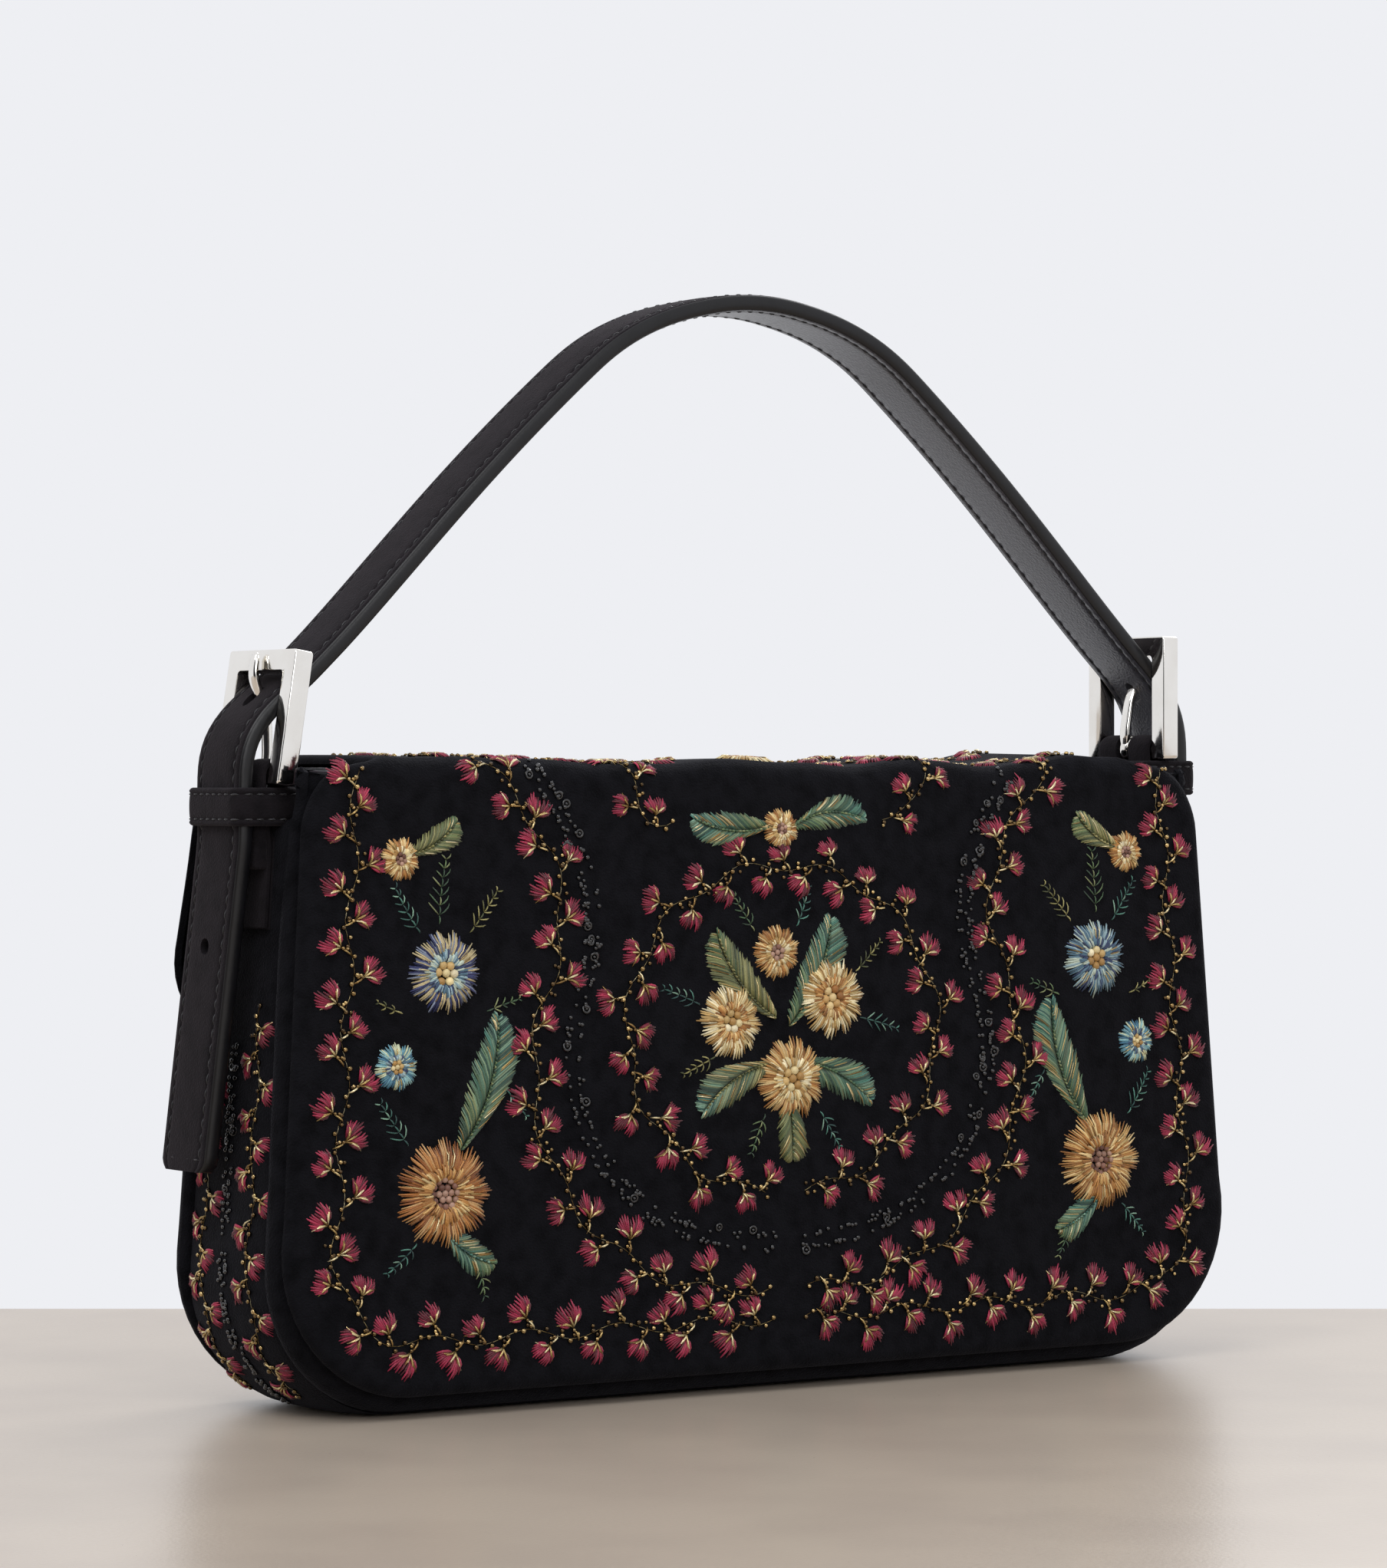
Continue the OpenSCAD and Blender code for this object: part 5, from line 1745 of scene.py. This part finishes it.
# Front of the flap: a border vine, a lyre of two vines round an oval wreath, and posies
front = Needlework("front_work", flap_point)
for side in (LEFT, RIGHT):
    front.vine(border(side, 12.5, FLAP_LOW, 148, 4), skip=[(0, 4)])
    lyre = bezier((5, 25), (52, 20), (83, 62), (66, 98), (57, 117), (64, 134), (84, 152))
    front.vine(flipped(lyre, side))
    jet = bezier((4, 36), (40, 34), (70, 62), (57, 96), (50, 114), (55, 130), (70, 150))
    front.bead_band(flipped(jet, side))

    front.leaf(flipped((91, 60), side), facing(1.9, side), 33, 10, SAGE, TEAL, 0.1 * side)
    front.leaf(flipped((96, 44), side), facing(-2.55, side), 17, 6.5, TEAL, SAGE, 0.1 * side)
    front.rosette(flipped((95, 51), side), 12.2, 9, AMBER if side == LEFT else OCHRE, OCHRE, ROSEWOOD)
    front.rosette(
        flipped((94, 101), side), 9.4, 10, INK if side == LEFT else SLATE, SLATE, CREAM
    )
    front.rosette(flipped((107, 80), side), 5.6, 8, TEAL_BLUE, SLATE, CREAM)
    for at, angle, length, palette in (
        ((104, 62), 0.9, 12, TEAL), ((87, 39), -1.9, 12, SAGE), ((102, 40), -0.8, 10, TEAL),
        ((87, 110), 2.3, 12, OLIVE), ((100, 110), 0.9, 12, TEAL), ((83, 92), 2.8, 9, SAGE),
        ((105, 92), 0.3, 7, OLIVE), ((78, 74), -2.2, 8, TEAL), ((95, 112), 1.6, 15, SAGE),
    ):
        front.sprig(flipped(at, side), facing(angle, side), length, palette)
    front.leaf(flipped((103, 128), side), facing(2.6, side), 15, 6, OLIVE, SAGE, 0.1 * side)
    front.rosette(flipped((105, 127), side), 5.2, 8, OCHRE, CREAM, ROSEWOOD)

WREATH = (0, 86)
front.vine(oval(WREATH, (45, 39), -84, 270 - 6), spacing=12.0, size=6.0)
for leaf in (
    ((1, 86), 1.12, 29, 9.5, SAGE, TEAL, -0.1), ((-2, 88), 2.25, 27, 9, OLIVE, SAGE, 0.1),
    ((2, 78), -0.42, 25, 8.5, SAGE, TEAL, 0.1), ((-3, 78), -2.65, 24, 8.5, OLIVE, TEAL, -0.1),
    ((0, 72), -1.5, 17, 7.5, SAGE, OLIVE, 0.06),
):
    front.leaf(*leaf)
for flower in (
    ((-15.5, 88), 9.0, 10, CREAM, OCHRE, CREAM), ((13.5, 93), 9.6, 11, CREAM, OCHRE, OCHRE),
    ((1.5, 74), 9.8, 10, OCHRE, CREAM, CREAM), ((-2, 104), 6.6, 9, OCHRE, CREAM, ROSEWOOD),
):
    front.rosette(*flower)
for at, angle, length, palette in (
    ((-24, 92), 2.7, 11, TEAL), ((-20, 80), -2.7, 10, OLIVE), ((22, 88), -0.2, 11, TEAL),
    ((21, 99), 0.7, 10, OLIVE), ((10, 66), -1.0, 10, TEAL), ((-6, 66), -2.1, 10, SAGE),
    ((4, 110), 1.1, 10, TEAL), ((-8, 109), 2.2, 10, SAGE), ((-12, 98), 2.4, 12, OLIVE),
):
    front.sprig(at, angle, length, palette)
front.rosette((0, 134.5), 5.4, 9, OCHRE, CREAM, ROSEWOOD)
for side in (LEFT, RIGHT):
    front.leaf((3 * side, 135), facing(0.12, side), 22, 7.5, SAGE, TEAL)
    front.vine(flipped(bezier((30, 137), (38, 134), (44, 142), (46, 172)), side), size=5.4)
    front.vine(flipped([(97, 158), (60, 167), (20, 162)], side), size=5.6)
front.rosette((0, 163), 7.5, 10, CREAM, OCHRE, CREAM)
front.pieces(bend=FRONT_FOLD)

# Back half of the top and the back drop
back = Needlework("back_work", flap_point)
for side in (LEFT, RIGHT):
    edge_vine = bezier(
        behind(4, 93.5), behind(40, 93.5), behind(70, 93.5), behind(98, 93.5), behind(112, 94),
        behind(117.5, 100), behind(117.5, 144),
    )
    back.vine(flipped(edge_vine, side))
    rising = bezier(behind(10, 104), behind(44, 100), behind(52, 138), behind(92, 140))
    back.vine(flipped(rising, side))
    jet = bezier(behind(8, 112), behind(40, 110), behind(44, 142), behind(84, 150))
    back.bead_band(flipped(jet, side))
    back.vine(flipped([behind(97, 158), behind(60, 167), behind(20, 162)], side), size=5.6)
    angle = facing(0.5, side)
    back.leaf(flipped(behind(84, 118), side), -angle, 20, 8, SAGE, TEAL)
    back.rosette(flipped(behind(82, 116), side), 8.5, 10, OCHRE, AMBER, ROSEWOOD)
    back.rosette(flipped(behind(98, 124), side), 5.4, 8, TEAL_BLUE, SLATE, CREAM)
    back.sprig(flipped(behind(74, 118), side), math.pi - angle, 11, TEAL)
back.leaf(behind(0, 122), -0.5, 20, 8, SAGE, TEAL)
back.leaf(behind(0, 122), math.pi + 0.5, 20, 8, OLIVE, TEAL)
back.rosette(behind(0, 124), 9.5, 11, CREAM, OCHRE, CREAM)
back.sprig(behind(0, 112), 1.57, 10, TEAL)
back.pieces(bend=TOP_FOLD)


# Back panel, below the drop
def back_face(x, z, rise=0.0):
    """Points of the back panel's outer face."""
    return wall_point(BACK, x, z, 0.0, panel_rise(BACK, x, z) + rise)


low_back = Needlework("low_back_work", back_face)
for side in (LEFT, RIGHT):
    low_back.vine(border(side, 14.5, PANEL_LOW, 96, 4))
    low_back.vine(flipped(bezier((8, 30), (40, 64), (70, 74), (106, 66)), side))
    low_back.leaf(flipped((62, 44), side), facing(0.2, side), 24, 9, SAGE, TEAL)
    low_back.rosette(flipped((60, 42), side), 9.5, 10, OCHRE, AMBER, ROSEWOOD)
    low_back.rosette(flipped((90, 46), side), 6.0, 9, TEAL_BLUE, SLATE, CREAM)
    low_back.sprig(flipped((46, 38), side), -0.6 if side == LEFT else math.pi + 0.6, 11, TEAL)
low_back.rosette((0, 50), 10.5, 10, INK, SLATE, CREAM)
low_back.leaf((8, 54), 0.9, 18, 7, SAGE, TEAL)
low_back.leaf((-8, 54), math.pi - 0.9, 18, 7, SAGE, TEAL)
low_back.pieces()


# Gusset: vines and a bead band that come down both sides and end in the bottom corners
def gusset_place(along, across, rise=0.0):
    """The gusset's face by millimetres along it from the middle of the base, and across it."""
    half = half_depth(60.0) - SEAM_DEPTH
    return gusset_face(along / GUSSET_HALF, across / half, rise)


gusset_work = Needlework("gusset_work", gusset_place)
for side in (LEFT, RIGHT):
    for lane in (-1, 1):
        line = [(side * along, lane * 10.2) for along in np.linspace(214, 121, 28)]
        gusset_work.vine(line, spacing=12.5, size=6.0, wave=1.2, away=4.4)
    gusset_work.bead_band([(side * 205, 0), (side * 118, 0)], 2.0)
gusset_work.pieces()


# Machine stitches on the strap, the keepers and the pieces inside
def strap_outside(length, across, rise):
    """Points of the strap's suede face."""
    return strap_point(length, across, -np.asarray(rise) + 0.02)


def strap_inside(length, across, rise):
    """Points of the strap's leather face."""
    return strap_point(length, across, STRAP_THICK + np.asarray(rise) - 0.02)


for name, face in (("strap_outside", strap_outside), ("strap_inside", strap_inside)):
    rows = Needlework(name, face)
    for line in (-STITCH_LINE, STITCH_LINE):
        rows.seam([(3.2, line), (STRAP_LENGTH - 3.2, line)], 2.5, 0.9)
    for end in (2.9, STRAP_LENGTH - 2.9):
        rows.seam([(end, -STITCH_LINE), (end, STITCH_LINE)], 2.5, 0.9)
    rows.pieces(bend=STRAP_BEND)

for side in (LEFT, RIGHT):

    def keeper_face(around, height, rise, side=side):
        """The keeper's outer face, by millimetres round it from its middle."""
        around, height, rise = np.broadcast_arrays(around, height, rise)
        points, normals = keeper_path()
        points, normals = np.vstack([points, points[:1]]), np.vstack([normals, normals[:1]])
        steps = np.linalg.norm(np.diff(points, axis=0), axis=1)
        lengths = np.concatenate([[0], np.cumsum(steps)])
        place = np.mod(around, lengths[-1])
        x, y = (np.interp(place, lengths, points[:, k]) for k in (0, 1))
        nx, ny = (np.interp(place, lengths, normals[:, k]) for k in (0, 1))
        off = KEEPER_WALL + 0.02 + rise
        return at_bar(np.stack([x + nx * off, y + ny * off, height], -1), side, leaning=False)

    rows = Needlework(SIDE_NAME[side] + "_keeper", keeper_face)
    for row in (-0.65, 0.65):
        height = KEEPER_Z + row * KEEPER_HALF
        rows.seam([(-25.0, height), (25.0, height)], 1.9, 0.9)
    rows.pieces(bend=STRAP_BEND)


def rounded_line(width, height, middle, corner, x=0.0):
    """A closed line round a rectangle with rounded corners."""
    points = []
    for cx, cz, start in ((1, 1, 0), (-1, 1, 90), (-1, -1, 180), (1, -1, 270)):
        for angle in np.radians(np.linspace(start, start + 90, 6)):
            points.append((x + cx * (width / 2 - corner) + corner * math.cos(angle),
                           middle + cz * (height / 2 - corner) + corner * math.sin(angle)))
    return np.array(points + points[:1])


def inner_face(wall, depth):
    """A surface inside the bag, at a depth in a wall."""
    return lambda x, z, rise: wall_point(wall, x, z, depth + np.asarray(rise))


# Depth of the seams inside, level with the faces of what they hold
SEAM_FACE = {FRONT: 4.38, BACK: 6.18}
rows = Needlework("front_inside", inner_face(FRONT, SEAM_FACE[FRONT]))
rows.seam([(-FACING_HALF + 2, 127), (FACING_HALF - 2, 127)])
rows.seam([(-58.4, 117), (-58.4, 52), (-55, 50.6), (55, 50.6), (58.4, 52), (58.4, 117)])
for height in (116.8, 113.6):
    rows.seam([(-56, height), (56, height)])
rows.pieces()
rows = Needlework("back_inside", inner_face(BACK, SEAM_FACE[BACK]))
rows.seam([(-FACING_HALF + 2, 127), (FACING_HALF - 2, 127)])
rows.seam(rounded_line(147.6, 11.6, ZIP_Z, 2.2))
rows.seam(rounded_line(43.6, 17.6, 85, 1.6))
rows.pieces()

for unit in (STITCH, BEAD, KNOT, SPANGLE):
    bpy.data.objects.remove(unit, do_unlink=True)
